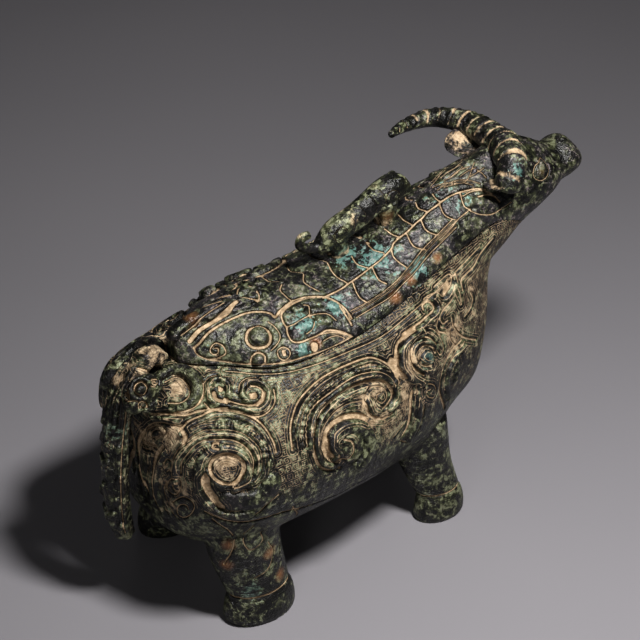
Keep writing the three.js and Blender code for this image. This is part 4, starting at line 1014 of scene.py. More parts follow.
        ("g", 0.34, 0.35, [(43.5, -12, 116.5), (38.5, -12.5, 115), (33.5, -14, 113),
         (28.5, -15, 111)]),
        ("g", 0.3, 0.3, [(36.5, -2.5, 121.5), (40, -2.5, 122.5), (43.5, -3.5, 123.5),
         (47, -5.5, 123.5), (50.5, -8, 122)]),
        ("g", 0.3, 0.3, [(39, -3, 122), (41.5, -4, 122.5), (45, -5.5, 123), (48, -7.5, 122)]),
        ("g", 0.3, 0.3, [(40.5, -1, 123), (45, -1.5, 124.5), (48.5, -0.5, 126)]),
        ("g", 0.3, 0.3, [(42.5, -1.5, 124), (46, -1, 125), (50, -2, 126)]),
        ("g", 0.3, 0.3, [(45.5, -3, 124), (49, -3, 125), (52, -3.5, 125.5)]),
        ("g", 0.3, 0.3, [(48.5, -5, 124), (51, -5, 124.5), (54.5, -5, 125.5)]),
        ("g", 0.34, 0.35, [(52, -4.5, 125), (53, -6, 124), (53.5, -7.5, 123)]),
        ("g", 0.3, 0.3, [(36, -0.5, 121.5), (40, -2, 123), (46, -5.5, 123), (52.5, -2, 127)]),
    ],
    "head": [
        ("g", 0.3, 0.5, [(77.5, -7.5, 123), (74.5, -9, 122.5), (72, -10.5, 121),
         (71.5, -11.5, 119), (74, -12, 117), (77, -11.5, 117), (79, -10, 118.5), (78.5, -8.5, 121),
         (77.5, -7.5, 123)]),
        ("b", 1.2, 0.7, [(75.5, -9.5, 121), (74.5, -11, 119)]),
        ("b", 1.2, 0.7, [(75, -9, 122), (74.5, -10.5, 120), (74, -11, 119)]),
    ],
}
MASK_LINES = {
    "mask": [
        ("g", 0.4, 0.8, [(-82.5, -9, 91.5), (-83.5, -9.5, 90.5), (-84.5, -9, 90.5),
         (-85.5, -9, 91), (-86.5, -8.5, 92), (-86.5, -8, 93), (-86, -7.5, 94), (-85.5, -7.5, 94.5),
         (-84, -7.5, 95), (-83, -8, 94.5), (-82.5, -8.5, 93.5), (-82, -9, 92.5),
         (-82.5, -9, 91.5)]),
        ("b", 1.2, 1.0, [(-85, -8.5, 93), (-84, -8.5, 93)]),
        ("b", 0.7, 0.6, [(-86, -9.5, 90), (-87, -9, 90.5), (-87.5, -8, 91.5), (-87.5, -7.5, 92.5),
         (-87, -7, 94), (-86, -6.5, 94.5), (-85, -6.5, 95), (-84, -6.5, 95.5), (-82.5, -7.5, 95),
         (-81.5, -8, 94.5), (-81, -8.5, 93.5)]),
        ("g", 0.36, 0.7, [(-91, -5, 91), (-90, -5, 91.5), (-89, -6.5, 92), (-88.5, -7.5, 91.5),
         (-88.5, -7.5, 91), (-89, -8, 90), (-89.5, -8, 89.5), (-89.5, -7, 89.5), (-90, -6, 89),
         (-89.5, -5.5, 89.5), (-89.5, -6, 90), (-89.5, -6, 90.5), (-89.5, -6.5, 91), (-89, -7, 91),
         (-89, -7, 90.5)]),
        ("g", 0.36, 0.7, [(-86.5, -10.5, 87), (-86.5, -10.5, 88.5), (-86, -10.5, 89),
         (-85, -10, 89), (-84, -10, 88.5), (-83, -9.5, 87), (-83, -9.5, 86), (-83, -9.5, 85.5),
         (-83.5, -9.5, 85.5), (-84.5, -10.5, 86), (-85.5, -10.5, 87), (-85.5, -10.5, 87.5),
         (-85.5, -10.5, 88), (-85, -10.5, 88), (-85, -10.5, 88)]),
        ("g", 0.36, 0.6, [(-89, -8.5, 90), (-87.5, -9.5, 90), (-86.5, -10, 89.5)]),
        ("g", 0.36, 0.6, [(-79, -9, 91.5), (-80.5, -9, 92.5), (-80.5, -8.5, 93.5), (-80, -8, 94),
         (-79, -7.5, 94), (-78, -7.5, 93.5), (-77, -7.5, 93), (-77.5, -8, 92), (-78, -8.5, 92),
         (-78.5, -8.5, 92), (-79.5, -8.5, 92.5), (-79.5, -8.5, 93), (-79.5, -8, 93.5),
         (-79, -8, 93.5), (-78.5, -8, 93)]),
        ("g", 0.36, 0.5, [(-87, -4.5, 95), (-88, -5.5, 93), (-88.5, -7, 92.5)]),
    ],
}


# The cast lines: where they run, and how they shape a skin. A curve has CURVE_STEPS steps between
# two of its points, and CHUNK pieces of a line are compared with the skin at a time
CURVE_STEPS = 14
CHUNK = 10


def run_along(points, step):
    """Even steps along a smooth curve through the points."""
    points = np.array(points, float)
    last = len(points) - 1
    curve = smooth_open(points)(np.linspace(0, last, CURVE_STEPS * last + 1))
    way = np.concatenate([[0], np.cumsum(np.linalg.norm(np.diff(curve, axis=0), axis=1))])
    even = np.linspace(0, way[-1], max(2, int(way[-1] / step) + 1))
    return np.stack([np.interp(even, way, curve[:, axis]) for axis in range(3)], 1)


# A row of teeth, the steps along cuts and bands, and the half width from which a cut's ends taper,
# in millimetres
TOOTH_PITCH = 2.3
TOOTH_LENGTH = 2.5
TOOTH_HALF_WIDTH = 0.75
TOOTH_STEP = 0.2
CUT_STEP = 0.7
BAND_STEP = 0.9
BROAD_CUT = 0.9


def teeth(points):
    """A row of small pointed teeth that stand on a curve and point to its inside."""
    line = run_along(points, TOOTH_STEP)
    centre = line.mean(0)
    for i in range(3, len(line) - 2, round(TOOTH_PITCH / TOOTH_STEP)):
        ahead = line[i + 1] - line[i]
        inward = centre - line[i]
        inward = inward - ahead * (inward @ ahead) / (ahead @ ahead)
        yield line[i], line[i] + inward / np.linalg.norm(inward) * TOOTH_LENGTH


def skin_of(obj):
    return BVHTree.FromObject(obj, bpy.context.evaluated_depsgraph_get())


def laid(points, skin):
    """The points moved onto the nearest place of a skin, in millimetres of the drawing."""
    out = []
    for x, y, z in points:
        spot = skin.find_nearest(Vector(((x + SHIFT_X) * MM, y * MM, z * MM)))[0]
        out.append((spot.x / MM - SHIFT_X, spot.y / MM, spot.z / MM))
    return np.array(out)


def segments(lines, skin):
    """The cuts and the bands: for each its spots on the skin, its half widths and its height."""
    cuts, bands = [], []
    for motif in lines.values():
        for kind, half, height, points in motif:
            if kind == "t":
                for root, tip in teeth(points):
                    spots = laid([root, (root + tip) / 2, tip], skin)
                    widths = np.array([1, 0.75, 0.3]) * TOOTH_HALF_WIDTH
                    bands.append((spots, widths, height))
                continue
            step = CUT_STEP if kind == "g" else BAND_STEP
            spots = laid(run_along(points, step), skin)
            widths = np.full(len(spots), half)
            taper = min(3, len(spots) // 2)
            if kind == "g" and half > BROAD_CUT:
                widths[:taper] *= np.linspace(0.4, 1, taper)
                widths[-taper:] *= np.linspace(1, 0.4, taper)
            (cuts if kind == "g" else bands).append((spots, widths, height))
    return cuts, bands


# How far from a line its marks reach (mm), how strongly bands and cuts move the skin for their
# height or depth, the band value of a piece that is all figure, and how far a point of the
# finished casting may lie from the skin (mm)
REACH = 2.0
BAND_LIFT = 1.35
CUT_SINK = 1.3
HIGH_BAND = 2.6
SKIN_GAP = 0.6


def near(points, spots, widths):
    """For points close to a line: which they are, and the offset, gap and half width there."""
    for start in range(0, len(spots) - 1, CHUNK):
        part = spots[start:start + CHUNK + 1]
        wide = widths[start:start + CHUNK + 1]
        margin = REACH + wide.max()
        low, high = part.min(0) - margin, part.max(0) + margin
        chosen = np.nonzero(((points > low) & (points < high)).all(1))[0]
        if not len(chosen):
            continue
        here = points[chosen][:, None]
        run = part[1:] - part[:-1]
        share = ((here - part[:-1]) * run).sum(-1) / (run**2).sum(-1)
        share = np.clip(share, 0, 1)
        offset = here - part[:-1] - share[..., None] * run
        half = wide[:-1] + share * (wide[1:] - wide[:-1])
        gap = np.linalg.norm(offset, axis=-1) - half
        best = gap.argmin(1)
        every = np.arange(len(chosen))
        yield chosen, offset[every, best], gap[every, best], half[every, best]


def soft_step(value, low, high):
    """0 at low, 1 at high, smooth between; low may be the larger one."""
    t = np.clip((value - low) / (high - low), 0, 1)
    return t * t * (3 - 2 * t)


def read_points(obj):
    points = np.empty(len(obj.data.vertices) * 3, np.float32)
    obj.data.vertices.foreach_get("co", points)
    return points.reshape(-1, 3).astype(float) / MM - (SHIFT_X, 0, 0)


def write_points(obj, points):
    places = (points + (SHIFT_X, 0, 0)) * MM
    obj.data.vertices.foreach_set("co", places.astype(np.float32).ravel())
    obj.data.update()


def nearest(points, spots):
    """Which spot is nearest to each point, and how far it is."""
    tree = KDTree(len(spots))
    for i, spot in enumerate(spots):
        tree.insert(spot, i)
    tree.balance()
    found = [tree.find(point) for point in points]
    return np.array([item[1] for item in found]), np.array([item[2] for item in found])


def blank_facts(count, band=0.0, field=1.0):
    """What the patina needs at every point of a skin that has no cast lines."""
    return {"cut": np.zeros((count, 3)), "cut_gap": np.full(count, REACH),
            "cut_half": np.zeros(count), "cut_here": np.zeros(count),
            "band": np.full(count, band), "field": np.full(count, field)}


def cast_lines(obj, lines, swell=None):
    """Raises the bands, sinks the cuts, and returns what the patina needs at every point."""
    points = read_points(obj)
    mirrored = points * (1, 0, 1) - (0, 1, 0) * np.abs(points)
    cuts, bands = segments(lines, skin_of(obj))
    count = len(points)
    facts = blank_facts(count)
    rise = np.zeros(count)
    for spots, widths, height in bands:
        for chosen, _, gap, half in near(mirrored, spots, widths):
            facts["band"][chosen] = np.maximum(facts["band"][chosen], REACH - gap)
            crown = np.clip(1 - ((gap + half) / half) ** 2, 0, 1)
            flank = 1 - soft_step(gap, -0.4, 0.25)
            lift = BAND_LIFT * height * flank * (0.8 + 0.3 * crown)
            rise[chosen] = np.maximum(rise[chosen], lift)
    sink = np.zeros(count)
    best = np.full(count, REACH)
    for spots, widths, depth in cuts:
        for chosen, offset, gap, half in near(mirrored, spots, widths):
            drop = CUT_SINK * depth * (1 - soft_step(gap, -0.3, 0.25))
            sink[chosen] = np.maximum(sink[chosen], drop)
            closer = gap < best[chosen]
            chosen = chosen[closer]
            best[chosen] = gap[closer]
            facts["cut"][chosen] = offset[closer]
            facts["cut_gap"][chosen] = gap[closer] + half[closer]
            facts["cut_half"][chosen] = half[closer]
            facts["cut_here"][chosen] = 1
    if swell:
        rise = rise + swell(points)
    normals = np.empty(count * 3, np.float32)
    obj.data.vertex_normals.foreach_get("vector", normals)
    moved = points + normals.reshape(-1, 3) * (rise - sink)[:, None]
    write_points(obj, moved)
    return moved, facts


def note_facts(obj, moved, facts, spots=()):
    """Writes the facts of the nearest skin point on every point; the hollow inside has none."""
    points = read_points(obj)
    source, distance = nearest(points, moved)
    outside = distance < SKIN_GAP

    def write(name, values):
        kind, key = ("FLOAT", "value") if values.ndim == 1 else ("FLOAT_VECTOR", "vector")
        made = obj.data.attributes.new(name, kind, "POINT")
        made.data.foreach_set(key, values.astype(np.float32).ravel())
    for name, values in facts.items():
        values = values[source] * (outside if values.ndim == 1 else outside[:, None])
        write(name, np.where(outside, values, REACH) if name == "cut_gap" else values)
    blots = {name: np.zeros(len(points)) for name in ("teal", "rust", "earth")}
    mirrored = points * (1, 0, 1) - (0, 1, 0) * np.abs(points)
    for name, x, y, z, radius, strength in spots:
        away = np.linalg.norm((mirrored if name == "earth" else points) - (x, y, z), axis=1)
        blots[name] = np.maximum(blots[name], strength * np.exp(-(away / radius) ** 2))
    for name, values in blots.items():
        if name not in facts:
            write(name, values * outside)


# The two castings
def leg(foot, thigh, side):
    """A solid leg. foot and thigh are (x, y, half length, half width)."""
    foot, thigh = np.array(foot, float), np.array(thigh, float)
    ankle = foot[2:] * 0.88

    def stop(z, share, half_length, half_width):
        x, y = foot[:2] + (thigh[:2] - foot[:2]) * share
        return (x, side * y, z, half_width, half_length)
    low = ankle + (thigh[2:] - ankle) * 0.3
    high = ankle + (thigh[2:] - ankle) * 0.7
    return limb("leg", [
        stop(0, 0, *foot[2:]), stop(HOOF_HEIGHT * 0.6, 0, *(foot[2:] * 0.98)),
        stop(HOOF_HEIGHT * 1.3, 0.1, *ankle), stop(BELLY_Z - 3, 0.5, *low),
        stop(BELLY_Z + 6, 0.8, *high), stop(BELLY_Z + 16, 1, *thigh[2:])], (1, 0, 0))


def vessel_swell(points):
    """The hooves' edge, and the slight unevenness of the old casting."""
    x, y, z = points.T
    uneven = np.sin(x / 5.1 + 1) * np.sin(z / 4.3) + np.sin(y / 3.9 + z / 6.1) * np.sin(x / 7.7)
    hoof = 0.5 * soft_step(z, HOOF_HEIGHT + 1.5, HOOF_HEIGHT - 0.2) * (z > 0.6)
    return (0.16 * uneven + hoof) * soft_step(z, 0.2, 2)


# The rear and front feet and thighs: x, y, half length, half width
REAR_FOOT, REAR_THIGH = (-54, 28, 13, 8.5), (-59, 25, 14, 11)
FRONT_FOOT, FRONT_THIGH = (27.2, 21, 9.4, 6.5), (20, 17, 11, 9)


def hollow(rows, roundness):
    """The space inside a form, one wall's thickness smaller than it."""
    return form_mesh("hollow", rows, roundness, WALL, CAVITY_END_X, rings=60, around=48)


def vessel_casting():
    body = form_mesh("vessel_casting", VESSEL_ROWS, SHOULDER_ROUNDNESS)
    legs = []
    for side in (-1, 1):
        legs.append(leg(REAR_FOOT, REAR_THIGH, side))
        legs.append(leg(FRONT_FOOT, FRONT_THIGH, side))
    body = recast(join([body, *legs], "vessel_casting"), VESSEL_VOXEL)
    moved, facts = cast_lines(body, {**VESSEL_LINES, **leg_lines()}, vessel_swell)
    facts["field"] = 0.15 + 0.85 * soft_step(moved[:, 2], 42, 74)
    carve(body, slab("above", SEAM_LINE, SKY_Z))
    carve(body, hollow(VESSEL_ROWS, SHOULDER_ROUNDNESS))
    note_facts(body, moved, facts, VESSEL_SPOTS)
    return body


def leg_lines():
    """Rings round the hooves and fine curved lines on the upper legs."""
    lines = {}
    for name, (x, y, half_length, half_width) in (("rear", REAR_FOOT), ("front", FRONT_FOOT)):
        ring = [(x + half_length * np.sin(a), half_width * np.cos(a) - y, HOOF_HEIGHT + 2.6)
                for a in np.linspace(0.3, 2 * np.pi + 0.3, 25)]
        lines[name + " hoof"] = [("g", 0.45, 0.5, ring)]
    lines["rear leg"] = [
        ("g", 0.4, 0.45, [(-72, -30, 52), (-69, -34, 45), (-68, -35, 37), (-70, -31, 28)]),
        ("g", 0.4, 0.45, [(-48, -36, 50), (-44, -36, 42), (-44, -34, 34), (-47, -35, 25)]),
        ("g", 0.35, 0.4, [(-62, -38, 46), (-65, -37, 40), (-62, -36, 34), (-57, -37, 36),
                          (-58, -38, 40)]),
        ("g", 0.35, 0.4, [(-54, -38, 34), (-51, -37, 28), (-54, -36, 22), (-60, -36, 20)]),
    ]
    return lines


def lid_casting():
    lid = recast(form_mesh("lid_casting", LID_ROWS, LID_ROUNDNESS), LID_VOXEL)
    moved, facts = cast_lines(lid, LID_LINES)
    facts["field"] = 0.25 + 0.4 * soft_step(moved[:, 0], 64, 74)
    carve(lid, slab("below", SEAM_LINE + (0, SEAT_GAP), UNDER_Z))
    carve(lid, hollow(LID_ROWS, LID_ROUNDNESS))
    note_facts(lid, moved, facts, LID_SPOTS)
    return lid


# Tail, masks, horns, ears and tiger
def ridged_tail(way, angle):
    """Lengthwise ridges that run down the tail."""
    return 1 + 0.09 * np.cos(5 * angle + way * 0.03) - 0.04 * np.sin(way * 0.9) ** 2


def tail():
    thick, wide = TAIL_HALF_THICKNESS, TAIL_HALF_WIDTH
    back = RUMP_X - TAIL_STANDOFF + TAIL_HALF_THICKNESS
    root_x = LID_REAR_X - 2 - SEAT_GAP
    made = limb("tail_casting", [
        (root_x - 2, 0, SEAM_Z + 1.5, thick * 0.7, wide * 0.65),
        (root_x - 5.5, 0, SEAM_Z + 4.4, thick * 0.75, wide * 0.7),
        (back + 11, 0, SEAM_Z + 1.8, thick * 0.85, wide * 0.85),
        (back + 6, 0, SEAM_Z - 5.5, thick, wide),
        (back + 2.8, 0, RUMP_MID_Z + 15, thick * 0.97, wide),
        (back + 0.8, 0, RUMP_MID_Z + 3, thick * 0.97, wide),
        (back, 0, RUMP_MID_Z - 12, thick * 0.97, wide),
        (back + 0.8, 0, TAIL_TIP_Z + 8, thick * 0.93, wide * 0.92),
        (back + 2.6, 0, TAIL_TIP_Z, thick * 0.75, wide * 0.7)], (0, 1, 0), shape=ridged_tail)
    made = recast(made, SMALL_VOXEL * 1.3)
    moved, facts = cast_lines(made, tail_lines(back))
    facts["field"] = 0.4 * facts["field"]
    facts["earth"] = 0.42 * soft_step(moved[:, 2], 74, 88)
    note_facts(made, moved, facts, VESSEL_SPOTS)
    return made


def tail_lines(x):
    """Grooves and ridges down the tail, a row of small lumps, and a curl at the root."""
    lumps = [(0, -4, 70), (-2, -1.6, 64), (0, -4.4, 58), (-2, -0.8, 54), (-1, -3.6, 49),
             (-2, -1.8, 43), (0, -3.8, 38)]
    return {"tail": [
        ("g", 0.35, 0.4, [(x + 4, -5.2, 92), (x + 1.5, -5.6, 78), (x - 0.5, -5.6, 62),
                          (x - 1, -5.2, 46), (x, -4.6, 33)]),
        ("g", 0.25, 0.45, [(x + 1, -0.5, 96), (x - 2, 0, 84), (x - 3, -0.5, 72)]),
        ("b", 0.8, 0.6, [(x + 6, -2.6, 98), (x + 1, -3.4, 88), (x - 1, -3, 76)]),
        ("b", 0.7, 0.6, [(x + 2, -1, 94), (x - 3, -1.2, 82), (x - 4, -1, 68)]),
        *(("b", 1.1, 0.7, [(x + off, y, z), (x + off, y + 0.8, z - 1.6)]) for off, y, z in lumps),
        ("g", 0.5, 0.5, [(x + 9, -4, 97), (x + 12, -4.4, 95), (x + 12, -4.6, 92),
                         (x + 9, -4.8, 91), (x + 8, -4.6, 93)]),
    ]}


# The C-shaped horn on each beast head: x, y, z, half width
MASK_HORN = [
    (-76.5, 4.6, 91.2, 1.8), (-70.8, 4.8, 92.6, 1.9), (-67.6, 8.4, 92.8, 2), (-67.2, 13, 91.5, 2),
    (-68.7, 16.6, 89.6, 1.8), (-72.2, 17.9, 87.8, 1.5), (-75.8, 16.7, 86.8, 1.1),
    (-77.6, 13.8, 86.6, 0.6),
]


def mask(name, side):
    """A small beast head beside the tail's root, with one C-shaped horn."""
    head = ball(name, (MASK_X, side * (MASK_Y + 0.3), MASK_Z), (7.4, 3.5, 6.6))
    snout = ball("snout", (MASK_X - 3.8, side * (MASK_Y + 1.6), MASK_Z - 1.6), (4, 3.4, 3.9))
    jaw = ball("jaw", (MASK_X + 1.5, side * (MASK_Y + 1.6), MASK_Z - 4.2), (4.4, 3, 2.6))
    curl = limb("horn", [(x, side * y, z, half, half) for x, y, z, half in MASK_HORN],
                (0, 0, 1), sides=24, steps=10)
    made = recast(join([head, snout, jaw, curl], name), SMALL_VOXEL)
    moved, facts = cast_lines(made, MASK_LINES)
    facts["field"] = 0.3 * facts["field"]
    note_facts(made, moved, facts)
    return made


# The right horn's way; the steps along a horn and the pitch of its rings, in millimetres; how much
# of a whole horn the right one is, and how much thicker
STUB = [(POLL_X + 0.3, -0.6, POLL_Z - 1.5), (62.6, -7.5, 129), (60.5, -12, 128.6),
        (58.2, -14.6, 126.8), (56.2, -15.8, 124), (55, -16, 121)]
HORN_STEP = 0.4
RING_PITCH = 5.2
STUB_SHARE = RIGHT_HORN_SHARE + 0.07
STUB_THICKENING = 1.12


def whole_horn():
    """The left horn's way: out sideways, then back."""
    x, y, z = POLL_X + 0.3, HORN_SPAN, POLL_Z - 1.5
    path = smooth_open([(x, 0.6, z), (x, y / 2, z), (x - 3.3, y * 0.82, z), (x - 10.3, y, z + 0.3),
                        (x - 21.3, y * 0.97, z + 1), (x - 31.3, y * 0.78, z + 3)])
    return path(np.linspace(0, 5, 60))


def horn(name, side):
    """A horn with rings cut round it. The right one is worn short and bends down."""
    worn = side < 0
    way = run_along(STUB if worn else whole_horn(), HORN_STEP)
    along = np.linspace(0, STUB_SHARE if worn else 1, len(way))
    radius = HORN_ROOT_RADIUS + (HORN_TIP_RADIUS - HORN_ROOT_RADIUS) * along**1.3
    if worn:
        radius = radius * STUB_THICKENING
    to_tip = np.arange(len(way))[::-1] * HORN_STEP
    round_off = radius * (0.6 if worn else 0.9)
    fullness = 1 - (1 - np.clip(to_tip / round_off, 0, 1)) ** 2
    radius = radius * np.sqrt(np.clip(fullness, 0.02, 1))
    stops = [(*spot, size, size) for spot, size in zip(way[::3], radius[::3])]
    stops.append((*way[-1], radius[-1], radius[-1]))
    made = recast(limb(name, stops, (0, 0, 1), sides=48, steps=3), SMALL_VOXEL * 1.2)
    moved = read_points(made)
    step, _ = nearest(moved, way)
    place = step * HORN_STEP
    out = moved - way[step]
    out /= np.linalg.norm(out, axis=1, keepdims=True)
    high, front = out[:, 2], out[:, 0] * 0.6 - side * out[:, 1] * 0.4
    lean = place + 1.2 * high + 0.8 * front
    from_ring = np.abs((lean / RING_PITCH) % 1 - 0.5) * RING_PITCH
    shown = soft_step(high, -0.35, 0.15) * soft_step(place, 0.5, 2)
    shown = shown * soft_step(to_tip.max() - place, 1.5, 6)
    ring = (1 - soft_step(from_ring, 0.25, 0.95)) * shown
    swell = 0.25 * np.cos(2 * np.pi * lean / RING_PITCH) * shown
    moved = moved + out * (-0.6 * ring - swell)[:, None]
    write_points(made, moved)
    facts = blank_facts(len(moved), band=HIGH_BAND, field=0)
    note_facts(made, moved, {**facts, "earth": 0.9 * ring}, LID_SPOTS)
    return made


# How deep the ear's cup is, as a share, and how far it is sunk (mm)
EAR_CUP = 0.32
EAR_SINK = 0.6


def ear(name, side):
    """A leaf-shaped ear, hollowed like a cup on its front."""
    out = np.array((-0.55, side * 0.8, 0.2))
    out /= np.linalg.norm(out)
    back = RIGHT_SETBACK if side < 0 else 0
    root = np.array((POLL_X - 1 - back, side * NECK_HALF_WIDTH / 2, POLL_Z - 8))
    way = np.linspace(0, 1, 26)
    width = EAR_HALF_WIDTH * np.interp(way, [0, 0.3, 0.6, 0.8, 0.93, 1],
                                       [1.2, 1.2, 1.15, 1.0, 0.66, 0.14])
    across = np.cross(out, np.array((-0.5, 0, 0.8)))
    across /= np.linalg.norm(across)
    tall = np.cross(across, out)
    angle = 2 * np.pi * np.arange(36) / 36
    sideways = width[:, None] * np.cos(angle)
    cup = EAR_CUP * (sideways / EAR_HALF_WIDTH) ** 2 * EAR_HALF_WIDTH - EAR_SINK
    thin = np.interp(way, [0, 0.8, 1], [1, 0.9, 0.4])[:, None]
    thick = EAR_HALF_THICKNESS * 0.8 * np.sin(angle) * thin
    points = (root + out * (way * EAR_LENGTH)[:, None])[:, None] + across * sideways[..., None]
    made = recast(rings_mesh(name, points + tall * (cup + thick)[..., None]), SMALL_VOXEL)
    moved = read_points(made)
    local = moved - root
    over = (local @ tall) > 0.1 + EAR_CUP * (local @ across) ** 2 / EAR_HALF_WIDTH - EAR_SINK
    inner = over * (1 - soft_step(np.abs(local @ across), EAR_HALF_WIDTH * 0.6, EAR_HALF_WIDTH))
    facts = blank_facts(len(moved), band=HIGH_BAND, field=0)
    note_facts(made, moved, {**facts, "earth": 0.7 * inner})
    return made


# The tiger's body: share of its length, drop below the top, share of its width, half height
TIGER_SPINE = [
    (0.03, 11.4, 0.5, 2.2), (0.12, 9.6, 0.75, 3.6), (0.24, 7.4, 0.9, 4.5), (0.42, 6.6, 0.85, 4.8),
    (0.6, 5.8, 0.88, 5), (0.75, 4.9, 0.95, 4.9), (0.88, 6, 0.95, 4.7), (1, 10.5, 0.6, 2.8),
]

# The curl cut on its shoulder and thigh: along and up from the middle (mm)
TIGER_CURL = [(2.6, 0.6), (1, 2.8), (-1.8, 2.2), (-2.8, -0.6), (-1, -2.2), (0.6, -1.2)]


def tiger():
    """The knob: a small tiger that stands along the lid's ridge, tail curled."""
    y, wide = TIGER_Y, TIGER_HALF_WIDTH

    def at(share):
        return TIGER_REAR_X + TIGER_LENGTH * share

    def back(share):
        return ridge_z(at(share)) + TIGER_HEIGHT
    parts = [limb("tiger", [(at(share), y, back(share) - drop, wide * across, tall)
                            for share, drop, across, tall in TIGER_SPINE], (0, 0, 1))]
    for share in (0.22, 0.76):
        for side in (-1, 1):
            x = at(share)
            parts.append(limb("paw", [
                (x, y + side * wide * 0.48, back(share) - 8, 2.3, 4.4),
                (x + 0.5, y + side * wide * 0.42, back(share) - 12, 2, 3.4),
                (x + 2, y + side * wide * 0.3, ridge_z(x) - 1.5, 1.7, 3.2)],
                (1, 0, 0), sides=24, steps=8))
    parts.append(limb("curl", [
        (at(0.08), y, back(0.08) - 10.5, 1.8, 1.8), (at(-0.06), y, back(0) - 9.2, 1.7, 1.7),
        (at(-0.15), y, back(0) - 7, 1.6, 1.6), (at(-0.13), y, back(0) - 4.3, 1.6, 1.6),
        (at(-0.05), y, back(0) - 4, 1.4, 1.4)], (0, 1, 0), sides=24, steps=8))
    for side in (-1, 1):
        parts.append(ball("brow", (at(0.89), y + side * wide * 0.5, back(0.89) - 2.8),
                          (1.7, 1, 1.3)))
    made = recast(join(parts, "tiger_casting"), SMALL_VOXEL)
    moved = read_points(made)
    lines = {"tiger": []}
    for share, low in ((0.34, 8.4), (0.46, 8.8), (0.58, 8.4), (0.68, 7)):
        x = at(share)
        lines["tiger"].append(("g", 0.12, 0.4, [
            (x - 1, y - 0.2, back(share)), (x, y - 3, back(share) - 1.6),
            (x + 1.2, y - 4.6, back(share) - 4.6), (x + 0.4, y - 4.6, back(share) - low)]))
    for share, drop in ((0.22, 6.4), (0.78, 5.6)):
        x, z = at(share), back(share) - drop
        lines["tiger"].append(("g", 0.16, 0.45, [
            (x + across, y - wide, z + up) for across, up in TIGER_CURL]))
    moved, facts = cast_lines(made, lines)
    along = np.linspace(TIGER_REAR_X - 8, TIGER_REAR_X + 44, 60)
    height = moved[:, 2] - np.interp(moved[:, 0], along, [ridge_z(x) for x in along])
    facts["field"] = 0.2 * facts["field"]
    patchy = 0.5 + 0.5 * np.sin(moved[:, 0] / 2.3) * np.sin(moved[:, 0] / 5.1 + 1)
    facts["earth"] = 0.6 * soft_step(height, 4.5, 1) + 0.55 * soft_step(height, 8, 12) * patchy
    facts["band"] = np.where(height > 9, HIGH_BAND, facts["band"])
    note_facts(made, moved, facts, LID_SPOTS)
    return made


# Where earth has stayed on the vessel: (x, y, z, radius)
EARTH_SPOTS = [
    (-66, -4, 92.5, 5), (-71, -4, 92, 4), (-73, -10.5, 90, 3.6), (-66, -17, 89, 3),
    (-64.5, -9, 92, 3), (-11.5, -37.5, 67, 7), (-13.5, -35.5, 76.5, 6), (5, -31.5, 81.5, 7),
    (0, -35.5, 70, 7), (26, -22.5, 93, 7), (-29.5, -34.5, 79.5, 5), (-69, -34, 71.5, 4.5),
    (-82.5, -9.5, 72.5, 6), (28.5, -25, 80.5, 7), (37.5, -21.5, 87, 7), (-80, -15, 80, 6),
    (-78, -26, 60, 5), (-84, -13, 67, 5), (-84, -14, 60, 5), (-81, -17, 52, 5),
]

# (patch, x, y, z, radius, strength) on the drawing; only the earth is mirrored
LID_SPOTS = [
    ("teal", 6.5, -8.6, 108.7, 8, 1), ("teal", -0.6, -1.6, 108.7, 6, 0.9),
    ("teal", -14.8, -16, 102.2, 5, 1), ("teal", -28.7, -17.9, 100.8, 5, 1),
    ("teal", -33.2, -23.9, 95.8, 3, 1.1), ("teal", 16.5, -18.1, 105.3, 5, 1),
    ("teal", 57.6, -18.8, 130.1, 4, 0.9), ("teal", 38, -8, 120, 8, 0.6),
    ("rust", 75, -11, 119, 3, 0.3), ("rust", -27.5, -23.5, 96.5, 2.2, 1),
    ("rust", -59.8, 0.3, 104.6, 3, 1), ("rust", 13.3, -19.2, 103.9, 2.5, 0.9),
    ("rust", 25.5, -17.7, 106.5, 2, 0.9), ("rust", 5.5, -21.5, 100.6, 2.5, 0.9),
    ("rust", 16, -2, 118, 3, 0.6),
]
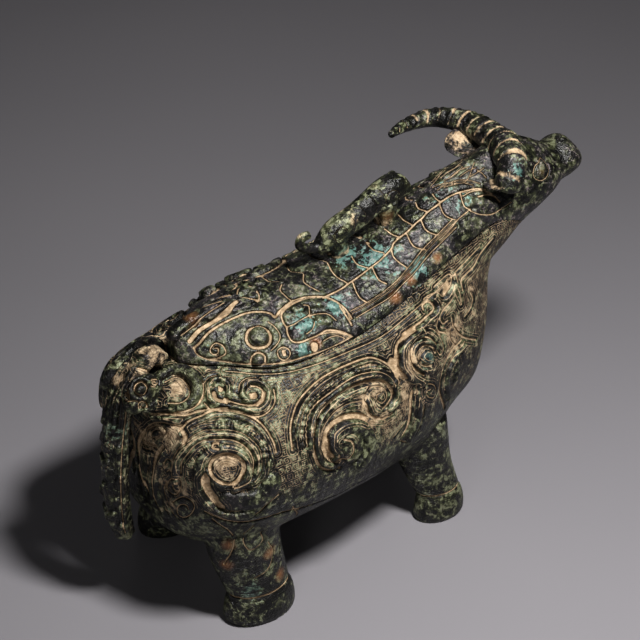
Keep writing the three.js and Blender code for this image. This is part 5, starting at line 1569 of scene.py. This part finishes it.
VESSEL_SPOTS = [
    ("teal", 12.5, -30.6, 78.9, 4, 1), ("teal", -91.9, -3.4, 76.6, 8, 0.55),
    ("teal", -61, -34, 15, 5, 0.8), ("rust", -68.7, -32.6, 37.6, 2.5, 1),
    ("rust", -68.7, -31.1, 28.1, 2.5, 1), ("rust", -53.8, -34.8, 28.7, 3, 0.9),
    ("rust", -49.2, -33.6, 16.5, 2.5, 0.9), ("earth", -85, -12, 64, 7, 0.6),
    ("earth", -86, -12, 55, 6, 0.55), ("earth", -82, -15, 47, 6, 0.5),
    ("earth", -84, -10, 74, 5, 0.5), ("earth", -85, -13, 58, 9, 0.35),
    *(("earth", x, y, z, radius, 0.5) for x, y, z, radius in EARTH_SPOTS),
]


def dress(obj, body, nodes, material):
    """Gives a piece its material and the body it moves with, and hides the nodes it stands for."""
    obj.data.materials.clear()
    obj.data.materials.append(material)
    obj.data.polygons.foreach_set("use_smooth", [True] * len(obj.data.polygons))
    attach(obj, body)
    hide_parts(*nodes)


make_camera()
make_studio()

bpy.ops.mesh.primitive_plane_add(size=6)
floor = bpy.context.object
floor.name = "floor"
floor.data.materials.append(studio_floor())

body_bronze = aged_bronze("body_bronze", plum=0.25, green=0.85, teal=0.4, ground=0.45, low=0.5,
                          fine=1.0)
lid_bronze = aged_bronze("lid_bronze", plum=0.85, green=0.48, teal=0.8)
horn_bronze = aged_bronze("horn_bronze", plum=0.4, green=0.8, teal=0.7)
knob_bronze = aged_bronze("knob_bronze", plum=0.2, green=0.9, teal=0.4)

vessel_nodes = ["vessel_shell", "leg_rear_right", "leg_rear_left", "leg_front_right",
                "leg_front_left"]
dress(vessel_casting(), "vessel", vessel_nodes, body_bronze)
dress(lid_casting(), "lid", ["lid_shell", "ox_head"], lid_bronze)
dress(tail(), "vessel", ["tail"], body_bronze)
dress(tiger(), "lid", ["tiger_knob"], knob_bronze)
for side, label in ((-1, "right"), (1, "left")):
    dress(mask("mask_" + label, side), "vessel", ["rump_mask_" + label],
          body_bronze)
    dress(horn("ringed_horn_" + label, side), "lid", ["horn_" + label],
          horn_bronze)
    dress(ear("leaf_ear_" + label, side), "lid", ["ear_" + label], lid_bronze)
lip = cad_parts["lid_locating_lip"]
lip.data.materials.clear()
lip.data.materials.append(plain_bronze("lip_bronze"))
